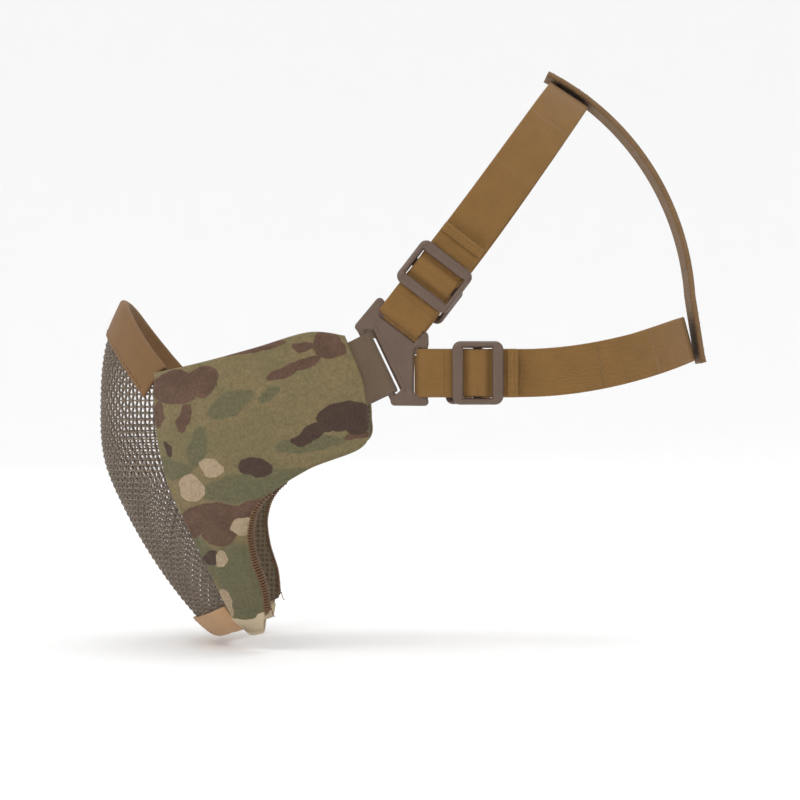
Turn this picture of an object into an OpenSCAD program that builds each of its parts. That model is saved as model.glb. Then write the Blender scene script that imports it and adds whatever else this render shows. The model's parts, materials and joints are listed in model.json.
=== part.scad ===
// Half-face mask: woven wire front, padded camouflage cheek panels and an
// elastic head harness on two Y-buckles. Millimetres. +Z is up, the face looks
// along -Y, the wearer's left is +X, and the origin is the centre of the head.

/* [Mask] */
// Width over the wire shell at the cheeks
mask_w = 152; // [125:1:185]
// Distance from the head centre to the foremost point of the mesh
face_reach = 136.8; // [112:0.1:165]
// Depth of the chin below the head centre
mask_drop = 119.5; // [98:0.5:145]
// Height of the nose peak above the head centre
nose_top = 19.6; // [15:0.2:24]
// Thickness of the woven wire sheet
mesh_t = 1.2; // [0.8:0.1:2]

/* [Cheek panels] */
// Thickness of the outer camouflage cloth
cover_t = 0.9; // [0.5:0.1:1.5]
// Thickness of the foam pad
pad_t = 2.2; // [1.5:0.1:4]
// Thickness of the inner lining cloth
lining_t = 0.8; // [0.5:0.1:1.5]
// Air between neighbouring cloth layers
layer_gap = 0.1; // [0.05:0.05:0.3]
// Width of the overlock binding on the jaw edge
edge_w = 1.3; // [1:0.1:3]
// Height of the pale hem under each panel
hem_h = 6; // [4:0.5:9]

/* [Bindings] */
// Width of the tape over the nose edge
nose_tape_w = 14.5; // [8:0.5:18]
// Width of the tape inside the nose edge
nose_tape_in = 6; // [4:0.5:10]
// Width of the cloth strip under the chin
chin_tape_w = 10; // [7:0.5:14]
// Thickness of the binding tapes
tape_t = 0.9; // [0.6:0.1:1.4]

/* [Webbing and elastic] */
// Width of the anchor webbing
anchor_w = 25; // [20:0.5:30]
// Visible length of the anchor webbing, from the panel to its fold
anchor_len = 9.4; // [7.5:0.2:14]
// Thickness of the anchor webbing and the elastic
strap_t = 1.2; // [0.9:0.1:1.5]
// Width of the elastic straps
strap_w = 18.8; // [15:0.2:22]
// Width of the back strap
back_w = 25; // [19:0.5:30]
// Thickness of the back strap
back_t = 2.4; // [1.5:0.1:3.5]
// Distance from the upper bar to the end of the doubled upper strap
upper_len = 42; // [38:1:50]
// Distance from the rear bar to the end of the doubled lower strap
lower_len = 38; // [37:1:46]
// Length of the folded hem on a strap's tail
tail_hem = 5; // [3:0.5:6]

/* [Buckles] */
// Diameter of the round bars
bar_d = 3; // [2.4:0.1:3.6]
// Thickness of the buckle plate
plate_t = 3; // [2:0.1:4]
// Clearance of webbing on a bar and of a slider on the strap
clear = 0.3; // [0.2:0.05:0.4]
// Open gap between a strap fold and the plate
slot_gap = 1.2; // [0.6:0.1:2]
// Length of a slider along the strap
slider_l = 20; // [16:0.5:22]
// Thickness of a slider's bars along the strap
slider_bar = 4.4; // [3:0.1:5]
// Thickness of a slider's side rails
slider_rail = 2.7; // [2:0.1:4]
// Thickness of a slider's outer bars above the strap
slider_t = 2; // [1.4:0.1:3]
// Width of a slider's centre bar
slider_mid = 3.6; // [2.4:0.1:4.4]
// Distance from a buckle bar to the middle of its slider
slider_at = 20.8; // [18:0.2:23]

/* [Head] */
// Distance from the head centre to the back strap
head_back = 106; // [88:1:128]
// Height of the crown arc above the head's widest level
head_top = 108; // [90:1:130]
// Height of the head's widest level
head_level = 15; // [5:1:25]

/* [Hidden] */
$fn = 48;

// Shell stations: height, set-back of the front, share of the half width,
// and the middle of the oval section along Y.
SHELL = [[-119.5, 49.8, 0.526, -49], [-109.5, 38.8, 0.618, -49],
  [-90, 23.8, 0.75, -47], [-66, 9.8, 0.895, -37], [-45, 1.4, 0.974, -31.4],
  [-20, 0, 1, -28.8], [2, 2.2, 1, -28.6], [19.6, 9.2, 0.974, -28.6],
  [26, 12.5, 0.95, -29.5]];
// The sizes that the stations and the outlines below are drawn for.
drawn_reach = 136.8;
drawn_drop = 119.5;
drawn_top = 19.6;
drawn_back = 106;
reach_k = face_reach / drawn_reach;
drop_k = mask_drop / drawn_drop;
top_k = nose_top / drawn_top;

// Cheek outline in side view [Y, Z]. Front and rear edges are paired from the
// chin upwards; the top and bottom edges run from front to rear.
CHEEK_FRONT = [[-79, -110], [-86, -98], [-92.5, -85], [-98, -74], [-102, -65],
  [-104.5, -58], [-106.5, -49], [-108, -38], [-109, -24], [-108.8, -10]];
CHEEK_REAR = [[-65.6, -105], [-65.2, -95], [-68.8, -83], [-70, -71],
  [-65, -59], [-50, -48], [-32, -39], [-24.3, -29], [-26, -13], [-33.5, 4.2]];
CHEEK_TOP = [[-108.8, -10], [-90, -6], [-69, -0.5], [-48, 5.5], [-33.5, 4.2]];
CHEEK_BOTTOM = [[-79, -110], [-72, -108.6], [-65.6, -105]];
// Share of the rear edge, from the chin, that the overlock binding covers.
JAW_EDGE = [0, 0.47];

// The wire shell: half angle it spans, and how its top edge falls away.
mesh_angle = 54;
arch_angle = 43.5;
arch_fall = 28.6;
arch_power = 2.2;
mesh_foot = -116;
foot_rise = 0.0032;
// Drawn height at which the mesh stops behind a cheek panel.
mesh_side_top = -14;

// Buckle bars in side view, from the middle of the front bar: place and angle.
FRONT_BAR = -64.5;
UPPER_AT = [9.6, 17.4];
UPPER_BAR = -37.5;
REAR_AT = [18.3, -3.5];
REAR_BAR = -90;
// Share of the rear edge, from the chin, at which the anchor leaves the panel.
anchor_rear = 0.91;
edge_room = 0.6;
// Distance of the buckle plane outside the middle of the panel's edge.
buckle_out = 1.5;
// How far the plate's rounded corners stand past the webbing beside them.
front_ear = 3.8;
strap_ear = 1.2;
ear_r = 1.6;
// Length of each bar's end that runs into the plate, past the webbing.
bar_root = 1.2;

// Upper strap's place on the crown and lower strap's on the nape.
crown_angle = 57;
crown_tail = 6.5;
nape_point = [107.5, 4.5];
nape_lean = 16;
// Angle at which the back strap leaves the head's curve, and how far its
// straight foot reaches below the nape.
back_low = 4;
back_foot = 11;
// How far each band runs straight on before it bends round the head, and how
// far out from the middle it starts to lie flat.
upper_run = 28;
lower_run = 38;
crown_flat = 43;
nape_flat = 32;
crown_half = 17;
nape_half = 17;

// Depth by which joined shapes run into each other.
lap = 0.05;

bar_r = bar_d / 2;
fold_r = bar_r + clear;
slot_depth = fold_r + strap_t + slot_gap;
inner_gap = 2.2;
cover_out = 2 * layer_gap + pad_t + cover_t;

function mix(a, b, t) = a + (b - a) * t;
function unit(v) = v / norm(v);
function my(y) = y * reach_k;
function mz(z) = z < 0 ? z * drop_k : z * top_k;

// Smooth curve through evenly spaced points, t from 0 to 1.
function curve(p, t) = let (n = len(p) - 1, u = max(0, min(1, t)) * n,
  i = min(floor(u), n - 1), f = u - i,
  a = p[max(i - 1, 0)], b = p[i], c = p[i + 1], d = p[min(i + 2, n)])
  b + 0.5 * f * (c - a + f * (2 * a - 5 * b + 4 * c - d
    + f * (3 * (b - c) + d - a)));

// Column c of the shell stations at drawn height z.
function slope(c, i) = let (a = max(i - 1, 0), b = min(i + 1, len(SHELL) - 1))
  (SHELL[b][c] - SHELL[a][c]) / (SHELL[b][0] - SHELL[a][0]);
function station(c, z) = let (n = len(SHELL) - 1,
  i = max([for (k = [0 : n - 1]) SHELL[k][0] <= z || k == 0 ? k : 0]),
  h = SHELL[i + 1][0] - SHELL[i][0], t = (z - SHELL[i][0]) / h,
  t2 = t * t, t3 = t2 * t)
  (2 * t3 - 3 * t2 + 1) * SHELL[i][c] + (t3 - 2 * t2 + t) * h * slope(c, i)
  + (3 * t2 - 2 * t3) * SHELL[i + 1][c] + (t3 - t2) * h * slope(c, i + 1);

// Shell point at an angle from the midline and a drawn height.
function shell(a, z) = let (front = -drawn_reach + station(1, z),
  depth = station(3, z) - front)
  [mask_w / 2 * station(2, z) * sin(a), my(station(3, z) - depth * cos(a)), mz(z)];
// Angle on the shell of a side-view point in drawn sizes.
function angle_at(p) = let (front = -drawn_reach + station(1, p[1]),
  depth = station(3, p[1]) - front)
  acos(max(-1, min(1, (station(3, p[1]) - p[0]) / depth)));
function out_at(a, z) = let (e = 0.5)
  unit(cross(shell(a + e, z) - shell(a - e, z), shell(a, z + e) - shell(a, z - e)));
// Shell point pushed out by d.
function skin(a, z, d) = shell(a, z) + d * out_at(a, z);
function skin_yz(p, d) = skin(angle_at(p), p[1], d);

// Side-view point of the cheek patch, s from front to rear, t from chin to top.
function cheek(s, t) = mix(curve(CHEEK_FRONT, t), curve(CHEEK_REAR, t), s)
  + mix(curve(CHEEK_BOTTOM, s), curve(CHEEK_TOP, s), t)
  - mix(mix(CHEEK_BOTTOM[0], CHEEK_BOTTOM[2], s), mix(CHEEK_TOP[0], CHEEK_TOP[4], s), t);

// Closed plate between two grids of points of the same size.
module plate(a, b) {
  rows = len(a);
  cols = len(a[0]);
  half = rows * cols;
  function at(i, j) = i * cols + j;
  points = [for (g = [a, b]) for (row = g) each row];
  rim = concat([for (j = [0 : cols - 1]) at(0, j)],
    [for (i = [1 : rows - 1]) at(i, cols - 1)],
    [for (j = [cols - 2 : -1 : 0]) at(rows - 1, j)],
    [for (i = [rows - 2 : -1 : 1]) at(i, 0)]);
  n = len(rim);
  faces = concat(
    [for (i = [0 : rows - 2], j = [0 : cols - 2]) each
      [[at(i, j), at(i + 1, j), at(i + 1, j + 1)],
       [at(i, j), at(i + 1, j + 1), at(i, j + 1)],
       [half + at(i, j), half + at(i + 1, j + 1), half + at(i + 1, j)],
       [half + at(i, j), half + at(i, j + 1), half + at(i + 1, j + 1)]]],
    [for (k = [0 : n - 1]) let (p = rim[k], q = rim[(k + 1) % n]) each
      [[p, q, q + half], [p, q + half, p + half]]]);
  polyhedron(points, faces, convexity = 8);
}

// Closed bar along a list of rings, each a loop of the same number of points.
module sweep(rings) {
  n = len(rings[0]);
  last = len(rings) - 1;
  points = [for (r = rings) each r];
  faces = concat([[for (k = [0 : n - 1]) k]],
    [for (i = [0 : last - 1], k = [0 : n - 1]) let (a = i * n + k,
      b = i * n + (k + 1) % n) each [[a, a + n, b + n], [a, b + n, b]]],
    [[for (k = [n - 1 : -1 : 0]) last * n + k]]);
  polyhedron(points, faces, convexity = 8);
}

// Both sides of the mask are mirror images.
module on_side(side) {
  if (side > 0) children();
  else mirror([1, 0, 0]) children();
}

// ---- Wire front ----
// Drawn height of the mesh's top edge at an angle from the midline.
arch = function (a) drawn_top - arch_fall * pow(abs(a) / arch_angle, arch_power);
foot = function (a) mesh_foot + foot_rise * a * a;
mesh_cols = 26;
mesh_rows = 22;

module wire_mesh_front() {
  function grid(d) = [for (i = [0 : mesh_rows]) [for (j = [0 : mesh_cols])
    let (a = mix(-mesh_angle, mesh_angle, j / mesh_cols),
      z = mix(foot(a), max(arch(a), mesh_side_top), i / mesh_rows)) skin(a, z, d)]];
  color([0.45, 0.4, 0.35]) plate(grid(0), grid(-mesh_t));
}

// Shell point [angle, height] reached by going down the shell by q from an edge,
// square to it. The edge is given by its tangent at p.
function step_off(a, z, along, q) = let (e = 0.5,
  by_a = (shell(a + e, z) - shell(a - e, z)) / (2 * e),
  by_z = (shell(a, z + e) - shell(a, z - e)) / (2 * e),
  side = unit(cross(out_at(a, z), along)), go = side[2] < 0 ? side : -side,
  aa = by_a * by_a, zz = by_z * by_z, az = by_a * by_z,
  ga = go * by_a, gz = go * by_z, det = aa * zz - az * az)
  [a + q * (ga * zz - gz * az) / det, z + q * (gz * aa - ga * az) / det];
function along_edge(a, edge) = let (e = 0.5)
  unit(shell(a + e, edge(a + e)) - shell(a - e, edge(a - e)));

// Cloth tape folded over the arch of the mesh, from rim to rim.
module nose_binding() {
  steps = 28;
  span = arch_angle - 3;
  g = 2 * layer_gap;
  outer = [for (k = [4 : -1 : 0]) nose_tape_w * k / 4];
  inner = [for (k = [0 : 2]) nose_tape_in * k / 2];
  function leg(a, q, d) = [for (x = q) let (p = step_off(a, arch(a), along_edge(a, arch), x))
    skin(p[0], p[1], d)];
  function ring(a) = let (z = arch(a), along = along_edge(a, arch),
    p = step_off(a, z, along, -g), t = step_off(a, z, along, -g - tape_t))
    concat(leg(a, outer, g + tape_t), [skin(t[0], t[1], -mesh_t / 2)],
      leg(a, inner, -mesh_t - g - tape_t), leg(a, [nose_tape_in, 0], -mesh_t - g),
      [skin(p[0], p[1], -mesh_t / 2)],
      leg(a, [for (k = [0 : 4]) nose_tape_w * k / 4], g));
  color([0.53, 0.41, 0.29])
    sweep([for (i = [0 : steps]) ring(mix(-span, span, i / steps))]);
}

// Cloth strip laid over the foot of the mesh and turned in under the chin.
module chin_binding() {
  steps = 24;
  span = 44;
  g = 2 * layer_gap;
  turned_in = 4.6;
  up = chin_tape_w - 3;
  up_leg = [for (k = [0 : 2]) -up * (1 - k / 2)];
  function leg(a, q, d) = [for (x = q) let (p = step_off(a, foot(a), along_edge(a, foot), x))
    skin(p[0], p[1], d)];
  function ring(a) = let (o = out_at(a, foot(a)), p = shell(a, foot(a)),
    side = unit(cross(o, along_edge(a, foot))), down = side[2] < 0 ? side : -side,
    turn = p - o * 2.4 + down * 3, tip = turn - o * turned_in - down * 0.4)
    concat(leg(a, up_leg, g + tape_t),
      [p + o * (g + tape_t - 0.6) + down * 2, turn + down * tape_t, tip + down * tape_t,
       tip, turn, p - o * 0.2 + down * 1.4],
      leg(a, [0, -up / 2, -up], g));
  color([0.7, 0.57, 0.44])
    sweep([for (i = [0 : steps]) ring(mix(span, -span, i / steps))]);
}

// ---- Cheek panels ----
cheek_cols = 9;
cheek_rows = 24;
module cheek_layer(outer, inner, inset) {
  function grid(d) = [for (i = [0 : cheek_rows]) [for (j = [0 : cheek_cols])
    skin_yz(cheek(mix(inset, 1 - inset, j / cheek_cols),
      mix(inset / 2, 1 - inset / 2, i / cheek_rows)), d)]];
  plate(grid(outer), grid(inner));
}

module cheek_cover(side) {
  color([0.5, 0.45, 0.33]) on_side(side)
    cheek_layer(cover_out, 2 * layer_gap + pad_t, 0);
}
module cheek_pad(side) {
  color([0.25, 0.23, 0.2]) on_side(side)
    cheek_layer(layer_gap + pad_t, layer_gap, 0.01);
}
module cheek_lining(side) {
  color([0.42, 0.36, 0.28]) on_side(side)
    cheek_layer(-mesh_t - layer_gap, -mesh_t - layer_gap - lining_t, 0);
}

// Strip that closes the layers along part of the rear edge.
module rim_strip(t0, t1, out, steps) {
  top = cover_out;
  low = -mesh_t - layer_gap - lining_t;
  chamfer = 0.6;
  function ring(t) = let (p = curve(CHEEK_REAR, t),
    q = curve(CHEEK_REAR, t + 0.01) - curve(CHEEK_REAR, t - 0.01),
    away = unit([q[1], -q[0]]) * (out + layer_gap), near = unit([q[1], -q[0]]) * layer_gap)
    [skin_yz(p + near, top), skin_yz(p + away, top - chamfer),
     skin_yz(p + away, low + chamfer), skin_yz(p + near, low)];
  sweep([for (i = [0 : steps]) ring(mix(t0, t1, i / steps))]);
}
module edge_binding(side) {
  color([0.42, 0.28, 0.17]) on_side(side)
    rim_strip(JAW_EDGE[0] + 0.02, JAW_EDGE[1], edge_w, 22);
}

// Pale hem folded under the lower end of a panel.
module chin_hem(side) {
  steps = 10;
  cloth = 0.6;
  tuck = 1.2;
  below = 0.8;
  panel_h = 110;
  function ring(s) = let (p = cheek(s, 0), q = cheek(s, hem_h / panel_h),
    d = unit(q - p), lift = cover_out + layer_gap)
    [skin_yz(q, lift), skin_yz(q, lift + cloth), skin_yz(p - d * below, lift + cloth),
     skin_yz(p - d * below, lift - tuck), skin_yz(p - d * layer_gap, lift - tuck),
     skin_yz(p - d * layer_gap, lift)];
  color([0.76, 0.66, 0.53]) on_side(side)
    sweep([for (i = [0 : steps]) ring(mix(0.97, 0.03, i / steps))]);
}

// ---- Buckle plane ----
// The anchor leaves the rear edge of the panel and holds the front bar.
rear_mid = curve(CHEEK_REAR, anchor_rear);
front_dir = [cos(FRONT_BAR), sin(FRONT_BAR)];
front_out = [-sin(FRONT_BAR), cos(FRONT_BAR)];
upper_bar = [cos(UPPER_BAR), sin(UPPER_BAR)];
edge_mid = skin_yz(rear_mid, (cover_out - mesh_t - lining_t) / 2);
buckle_x = edge_mid[0] + buckle_out;
anchor_tongue = anchor_len - fold_r - strap_t;
front_at = [edge_mid[1], edge_mid[2]] + anchor_tongue * front_out;
upper_at = front_at + UPPER_AT;
rear_at = front_at + REAR_AT;

// Children drawn as [Y, Z] in side view, from x for a thickness t.
module side_plate(x, t) {
  translate([x, 0, 0]) rotate([90, 0, 90]) linear_extrude(t) children();
}
// Children drawn along +X, from a bar at p, with the strap leaving at angle a.
module along_strap(p, a) {
  translate([buckle_x, p[0], p[1]]) rotate([a, 0, 0]) children();
}

// Webbing folded round a bar: two legs along +Y, fold at -Y, centred on X = 0.
module folded(r, gap, legs, thick, wide, neck) {
  out = r + thick;
  rotate([0, -90, 0]) translate([0, 0, -wide / 2]) {
    linear_extrude(wide) difference() {
      circle(out);
      circle(r);
      translate([-out - 1, 0]) square([2 * out + 2, out + 1]);
    }
    for (k = [0, 1]) mirror([k, 0]) linear_extrude(wide)
      polygon([[r, -lap], [out, -lap], [gap / 2 + thick, neck],
        [gap / 2 + thick, legs[k]], [gap / 2, legs[k]], [gap / 2, neck]]);
  }
}

module strap_anchor(side) {
  // The two legs meet in one tongue that ends against the panel's edge.
  tongue = anchor_tongue - edge_room;
  color([0.43, 0.35, 0.28]) on_side(side)
    along_strap(front_at, FRONT_BAR - 90)
      rotate([0, 90, 0])
        folded(fold_r, 0.1, [tongue, tongue], strap_t, anchor_w, 3.6);
}

// Bay cut into the plate round a bar at p, open on the bar's outer side.
module slot_bay(p, a, wide) {
  past = 6;
  translate(p) rotate(a) translate([-wide / 2, -slot_depth])
    square([wide, slot_depth + past]);
}

module buckle_outline() {
  difference() {
    hull() {
      for (k = [-1, 1]) {
        translate(front_at + k * (anchor_w / 2 + front_ear) * front_dir) circle(ear_r);
        translate(upper_at + k * (strap_w / 2 + strap_ear) * upper_bar) circle(ear_r);
        translate(rear_at + k * (strap_w / 2 + strap_ear) * [0, 1]) circle(ear_r);
      }
    }
    slot_bay(front_at, FRONT_BAR + 180, anchor_w + 2 * clear);
    slot_bay(upper_at, UPPER_BAR, strap_w + 2 * clear);
    slot_bay(rear_at, REAR_BAR, strap_w + 2 * clear);
  }
}

module round_bar(p, a, length) {
  translate([buckle_x, p[0], p[1]]) rotate([a - 90, 0, 0])
    cylinder(d = bar_d, h = length, center = true);
}

module buckle(side) {
  color([0.46, 0.38, 0.32]) on_side(side) {
    side_plate(buckle_x - plate_t / 2, plate_t) buckle_outline();
    round_bar(front_at, FRONT_BAR, anchor_w + 2 * bar_root);
    round_bar(upper_at, UPPER_BAR, strap_w + 2 * bar_root);
    round_bar(rear_at, REAR_BAR, strap_w + 2 * bar_root);
  }
}

// ---- Doubled strap ends, tails and sliders ----
// The tail with its hem stops short of the doubled strap's end.
tail_short = [1, 1.4];
tail_len = [upper_len, lower_len] - [tail_hem, tail_hem] - tail_short;
module strap_end(side, p, a, length, tail) {
  color([0.56, 0.43, 0.26]) on_side(side) along_strap(p, a)
    rotate([0, 90, 0]) folded(fold_r, inner_gap, [tail, length], strap_t, strap_w, 6);
}
module tail_hem_block(side, p, a, tail) {
  color([0.53, 0.4, 0.24]) on_side(side) along_strap(p, a)
    translate([inner_gap / 2 - 0.3, tail + layer_gap, -strap_w / 2])
      cube([2 * strap_t + 0.3, tail_hem, strap_w]);
}

// Rectangular slider: two outer bars above the strap, one bar inside the fold.
module slider(side, p, a) {
  window = strap_w + 2 * clear;
  wide = window + 2 * slider_rail;
  low = -(inner_gap / 2 - clear);
  deck = inner_gap / 2 + strap_t + clear;
  top = deck + slider_t;
  color([0.46, 0.38, 0.32]) on_side(side) along_strap(p, a)
    translate([0, slider_at, 0]) {
      for (k = [-1, 1]) {
        translate([low, -slider_l / 2, k * (wide - slider_rail) / 2 - slider_rail / 2])
          cube([top - low, slider_l, slider_rail]);
        translate([deck, k * (slider_l - slider_bar) / 2 - slider_bar / 2, -wide / 2])
          cube([top - deck, slider_bar, wide]);
      }
      translate([low, -slider_mid / 2, -wide / 2]) cube([-2 * low, slider_mid, wide]);
    }
}

// ---- Elastic bands and the back strap ----
function bezier(p, t) = let (u = 1 - t)
  u * u * u * p[0] + 3 * u * u * t * p[1] + 3 * u * t * t * p[2] + t * t * t * p[3];
function on_head(angle) = [head_back * cos(angle), head_level + head_top * sin(angle)];

upper_dir = UPPER_BAR + 90;
lower_dir = REAR_BAR + 90;
// The bottom layer of a doubled strap lies this far inside the buckle plane.
layer_x = buckle_x - inner_gap / 2 - strap_t / 2;
function strap_point(p, a, u) = [layer_x, p[0] + u * cos(a), p[1] + u * sin(a)];

crown = on_head(crown_angle);
crown_run = unit([-head_back * sin(crown_angle), head_top * cos(crown_angle)]);
upper_start = strap_point(upper_at, upper_dir, upper_len);
UPPER_BAND = [upper_start, upper_start + upper_run * [0, cos(upper_dir), sin(upper_dir)],
  [crown_flat, crown[0], crown[1]], [0, crown[0], crown[1]]];
upper_wide = [[0, -sin(upper_dir), cos(upper_dir)], [0, crown_run[0], crown_run[1]]];

nape = nape_point + [head_back - drawn_back, 0];
lower_start = strap_point(rear_at, lower_dir, lower_len);
LOWER_BAND = [lower_start, lower_start + lower_run * [0, 1, 0],
  [nape_flat, nape[0], nape[1] + 1], [0, nape[0], nape[1]]];
lower_wide = [[0, 0, 1], [0, -sin(nape_lean), cos(nape_lean)]];

// Ring of a flat band at t on a curve; wide holds its cross direction at both ends.
function band_ring(path, wide, t, flip = 1) = let (p = bezier(path, t), e = 0.002,
  run = unit(bezier(path, min(1, t + e)) - bezier(path, t - e)),
  w0 = mix(wide[0], wide[1], t), w = unit(w0 - (w0 * run) * run),
  o = unit(cross(run, w)), h = strap_w / 2, k = strap_t / 2,
  m = [[flip, 0, 0], [0, 1, 0], [0, 0, 1]])
  [m * (p - h * w - k * o), m * (p + h * w - k * o),
   m * (p + h * w + k * o), m * (p - h * w + k * o)];
function t_at_x(path, x, lo = 0, hi = 1, n = 20) = n == 0 ? lo
  : let (m = (lo + hi) / 2) bezier(path, m)[0] > x
    ? t_at_x(path, x, m, hi, n - 1) : t_at_x(path, x, lo, m, n - 1);

module band(side, path, wide, half) {
  steps = 20;
  t_end = t_at_x(path, half + layer_gap);
  color([0.56, 0.43, 0.26]) on_side(side)
    sweep([for (i = [0 : steps]) band_ring(path, wide, mix(0.004, t_end, i / steps))]);
}
// Middle of a band, under the back strap, from side to side.
module band_middle(path, wide, half) {
  steps = 5;
  t0 = t_at_x(path, half);
  color([0.56, 0.43, 0.26]) sweep(concat(
    [for (i = [0 : steps]) band_ring(path, wide, mix(t0, 0.999, i / steps))],
    [for (i = [steps : -1 : 0]) band_ring(path, wide, mix(t0, 0.999, i / steps), -1)]));
}

module back_strap() {
  // A flat band across the head's curve stands proud of it in the middle.
  lift = strap_t / 2 + 2 * layer_gap + strap_w * strap_w / (8 * head_back);
  steps = 30;
  top = crown_angle + crown_tail;
  lean = [sin(nape_lean), -cos(nape_lean)];
  arc = [for (i = [0 : steps]) on_head(mix(top, back_low, i / steps))];
  run = [for (i = [0 : steps]) let (a = mix(top, back_low, i / steps))
    unit([cos(a) / head_back, sin(a) / head_top])];
  foot = nape + back_foot * lean;
  foot_out = [cos(nape_lean), sin(nape_lean)];
  inner = concat([for (i = [0 : steps]) arc[i] + lift * run[i]], [foot + lift * foot_out]);
  outer = concat([for (i = [0 : steps]) arc[i] + (lift + back_t) * run[i]],
    [foot + (lift + back_t) * foot_out]);
  color([0.47, 0.38, 0.28]) side_plate(-back_w / 2, back_w)
    polygon(concat(inner, [for (i = [steps + 1 : -1 : 0]) outer[i]]));
}

wire_mesh_front();
nose_binding();
chin_binding();
cheek_cover(1);  // left_cheek_cover
cheek_pad(1);  // left_cheek_pad
cheek_lining(1);  // left_cheek_lining
cheek_cover(-1);  // right_cheek_cover
cheek_pad(-1);  // right_cheek_pad
cheek_lining(-1);  // right_cheek_lining
edge_binding(1);  // left_edge_binding
edge_binding(-1);  // right_edge_binding
chin_hem(1);  // left_chin_hem
chin_hem(-1);  // right_chin_hem
strap_anchor(1);  // left_strap_anchor
strap_anchor(-1);  // right_strap_anchor
buckle(1);  // left_buckle
buckle(-1);  // right_buckle
strap_end(1, upper_at, upper_dir, upper_len, tail_len[0]);  // left_upper_strap_end
strap_end(1, rear_at, lower_dir, lower_len, tail_len[1]);  // left_lower_strap_end
strap_end(-1, upper_at, upper_dir, upper_len, tail_len[0]);  // right_upper_strap_end
strap_end(-1, rear_at, lower_dir, lower_len, tail_len[1]);  // right_lower_strap_end
tail_hem_block(1, upper_at, upper_dir, tail_len[0]);  // left_upper_tail_hem
tail_hem_block(1, rear_at, lower_dir, tail_len[1]);  // left_lower_tail_hem
tail_hem_block(-1, upper_at, upper_dir, tail_len[0]);  // right_upper_tail_hem
tail_hem_block(-1, rear_at, lower_dir, tail_len[1]);  // right_lower_tail_hem
slider(1, upper_at, upper_dir);  // left_upper_slider
slider(1, rear_at, lower_dir);  // left_lower_slider
slider(-1, upper_at, upper_dir);  // right_upper_slider
slider(-1, rear_at, lower_dir);  // right_lower_slider
band(1, UPPER_BAND, upper_wide, crown_half);  // left_upper_band
band(-1, UPPER_BAND, upper_wide, crown_half);  // right_upper_band
band(1, LOWER_BAND, lower_wide, nape_half);  // left_lower_band
band(-1, LOWER_BAND, lower_wide, nape_half);  // right_lower_band
band_middle(UPPER_BAND, upper_wide, crown_half);  // crown_section
band_middle(LOWER_BAND, lower_wide, nape_half);  // nape_section
back_strap();
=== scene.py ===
"""Half-face mask with a wire front, cloth cheek panels and an elastic harness."""

import json
import math

import bmesh
import bpy
import numpy as np
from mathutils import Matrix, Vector, noise


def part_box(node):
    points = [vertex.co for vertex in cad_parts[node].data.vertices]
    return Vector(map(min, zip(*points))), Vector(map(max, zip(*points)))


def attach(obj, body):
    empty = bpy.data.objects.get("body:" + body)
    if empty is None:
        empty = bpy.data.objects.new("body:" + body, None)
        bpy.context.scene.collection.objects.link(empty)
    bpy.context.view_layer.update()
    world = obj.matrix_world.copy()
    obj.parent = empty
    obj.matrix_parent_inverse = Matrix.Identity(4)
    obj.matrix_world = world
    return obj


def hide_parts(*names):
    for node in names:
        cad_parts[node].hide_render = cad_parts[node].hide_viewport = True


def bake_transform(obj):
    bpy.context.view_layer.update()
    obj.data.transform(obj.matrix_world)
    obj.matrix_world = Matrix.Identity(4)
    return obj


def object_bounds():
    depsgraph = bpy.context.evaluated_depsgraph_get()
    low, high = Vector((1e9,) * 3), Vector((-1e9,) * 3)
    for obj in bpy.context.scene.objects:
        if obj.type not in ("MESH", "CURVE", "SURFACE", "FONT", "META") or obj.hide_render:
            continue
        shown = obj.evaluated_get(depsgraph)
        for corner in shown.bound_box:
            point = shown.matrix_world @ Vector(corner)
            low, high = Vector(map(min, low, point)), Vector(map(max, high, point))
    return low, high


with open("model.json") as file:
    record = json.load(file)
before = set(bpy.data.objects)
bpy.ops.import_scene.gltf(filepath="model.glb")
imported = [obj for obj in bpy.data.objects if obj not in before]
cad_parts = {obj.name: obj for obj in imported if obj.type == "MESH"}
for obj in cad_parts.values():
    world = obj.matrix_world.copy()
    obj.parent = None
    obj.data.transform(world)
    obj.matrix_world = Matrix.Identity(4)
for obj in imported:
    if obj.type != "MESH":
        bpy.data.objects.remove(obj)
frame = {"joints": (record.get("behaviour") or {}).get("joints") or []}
CAD_LOW, CAD_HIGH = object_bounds()

bl_info = {
    "name": "Half-face mask",
    "version": (1, 0, 0),
    "blender": (4, 5, 0),
    "location": "View3D > Sidebar > Face Mask",
    "description": "Builds a wire and cloth half-face mask on its fixed frame",
    "category": "Add Mesh",
}

# ---- Sizes that come from the frame, in millimetres ----
MM = 0.001
NUDGE = 0.5
SIDES = (("left", 1), ("right", -1))
SIDEWAYS = (1.0, 0, 0)
JOINTS = {joint["name"]: joint for joint in frame["joints"]}


def box_mm(node):
    """Lowest and highest corner of a frame node, in millimetres."""
    low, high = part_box(node)
    return np.array(low) / MM, np.array(high) / MM


def joint_mm(name):
    """Place of a hinge, in millimetres."""
    return np.array(JOINTS[name]["pos_m"]) / MM


MESH_LOW, MESH_HIGH = box_mm("wire_mesh_front")
STRAP_LOW, STRAP_HIGH = box_mm("left_lower_strap_end")
SLIDER_LOW, SLIDER_HIGH = box_mm("left_lower_slider")
BACK_LOW, BACK_HIGH = box_mm("back_strap")

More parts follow.
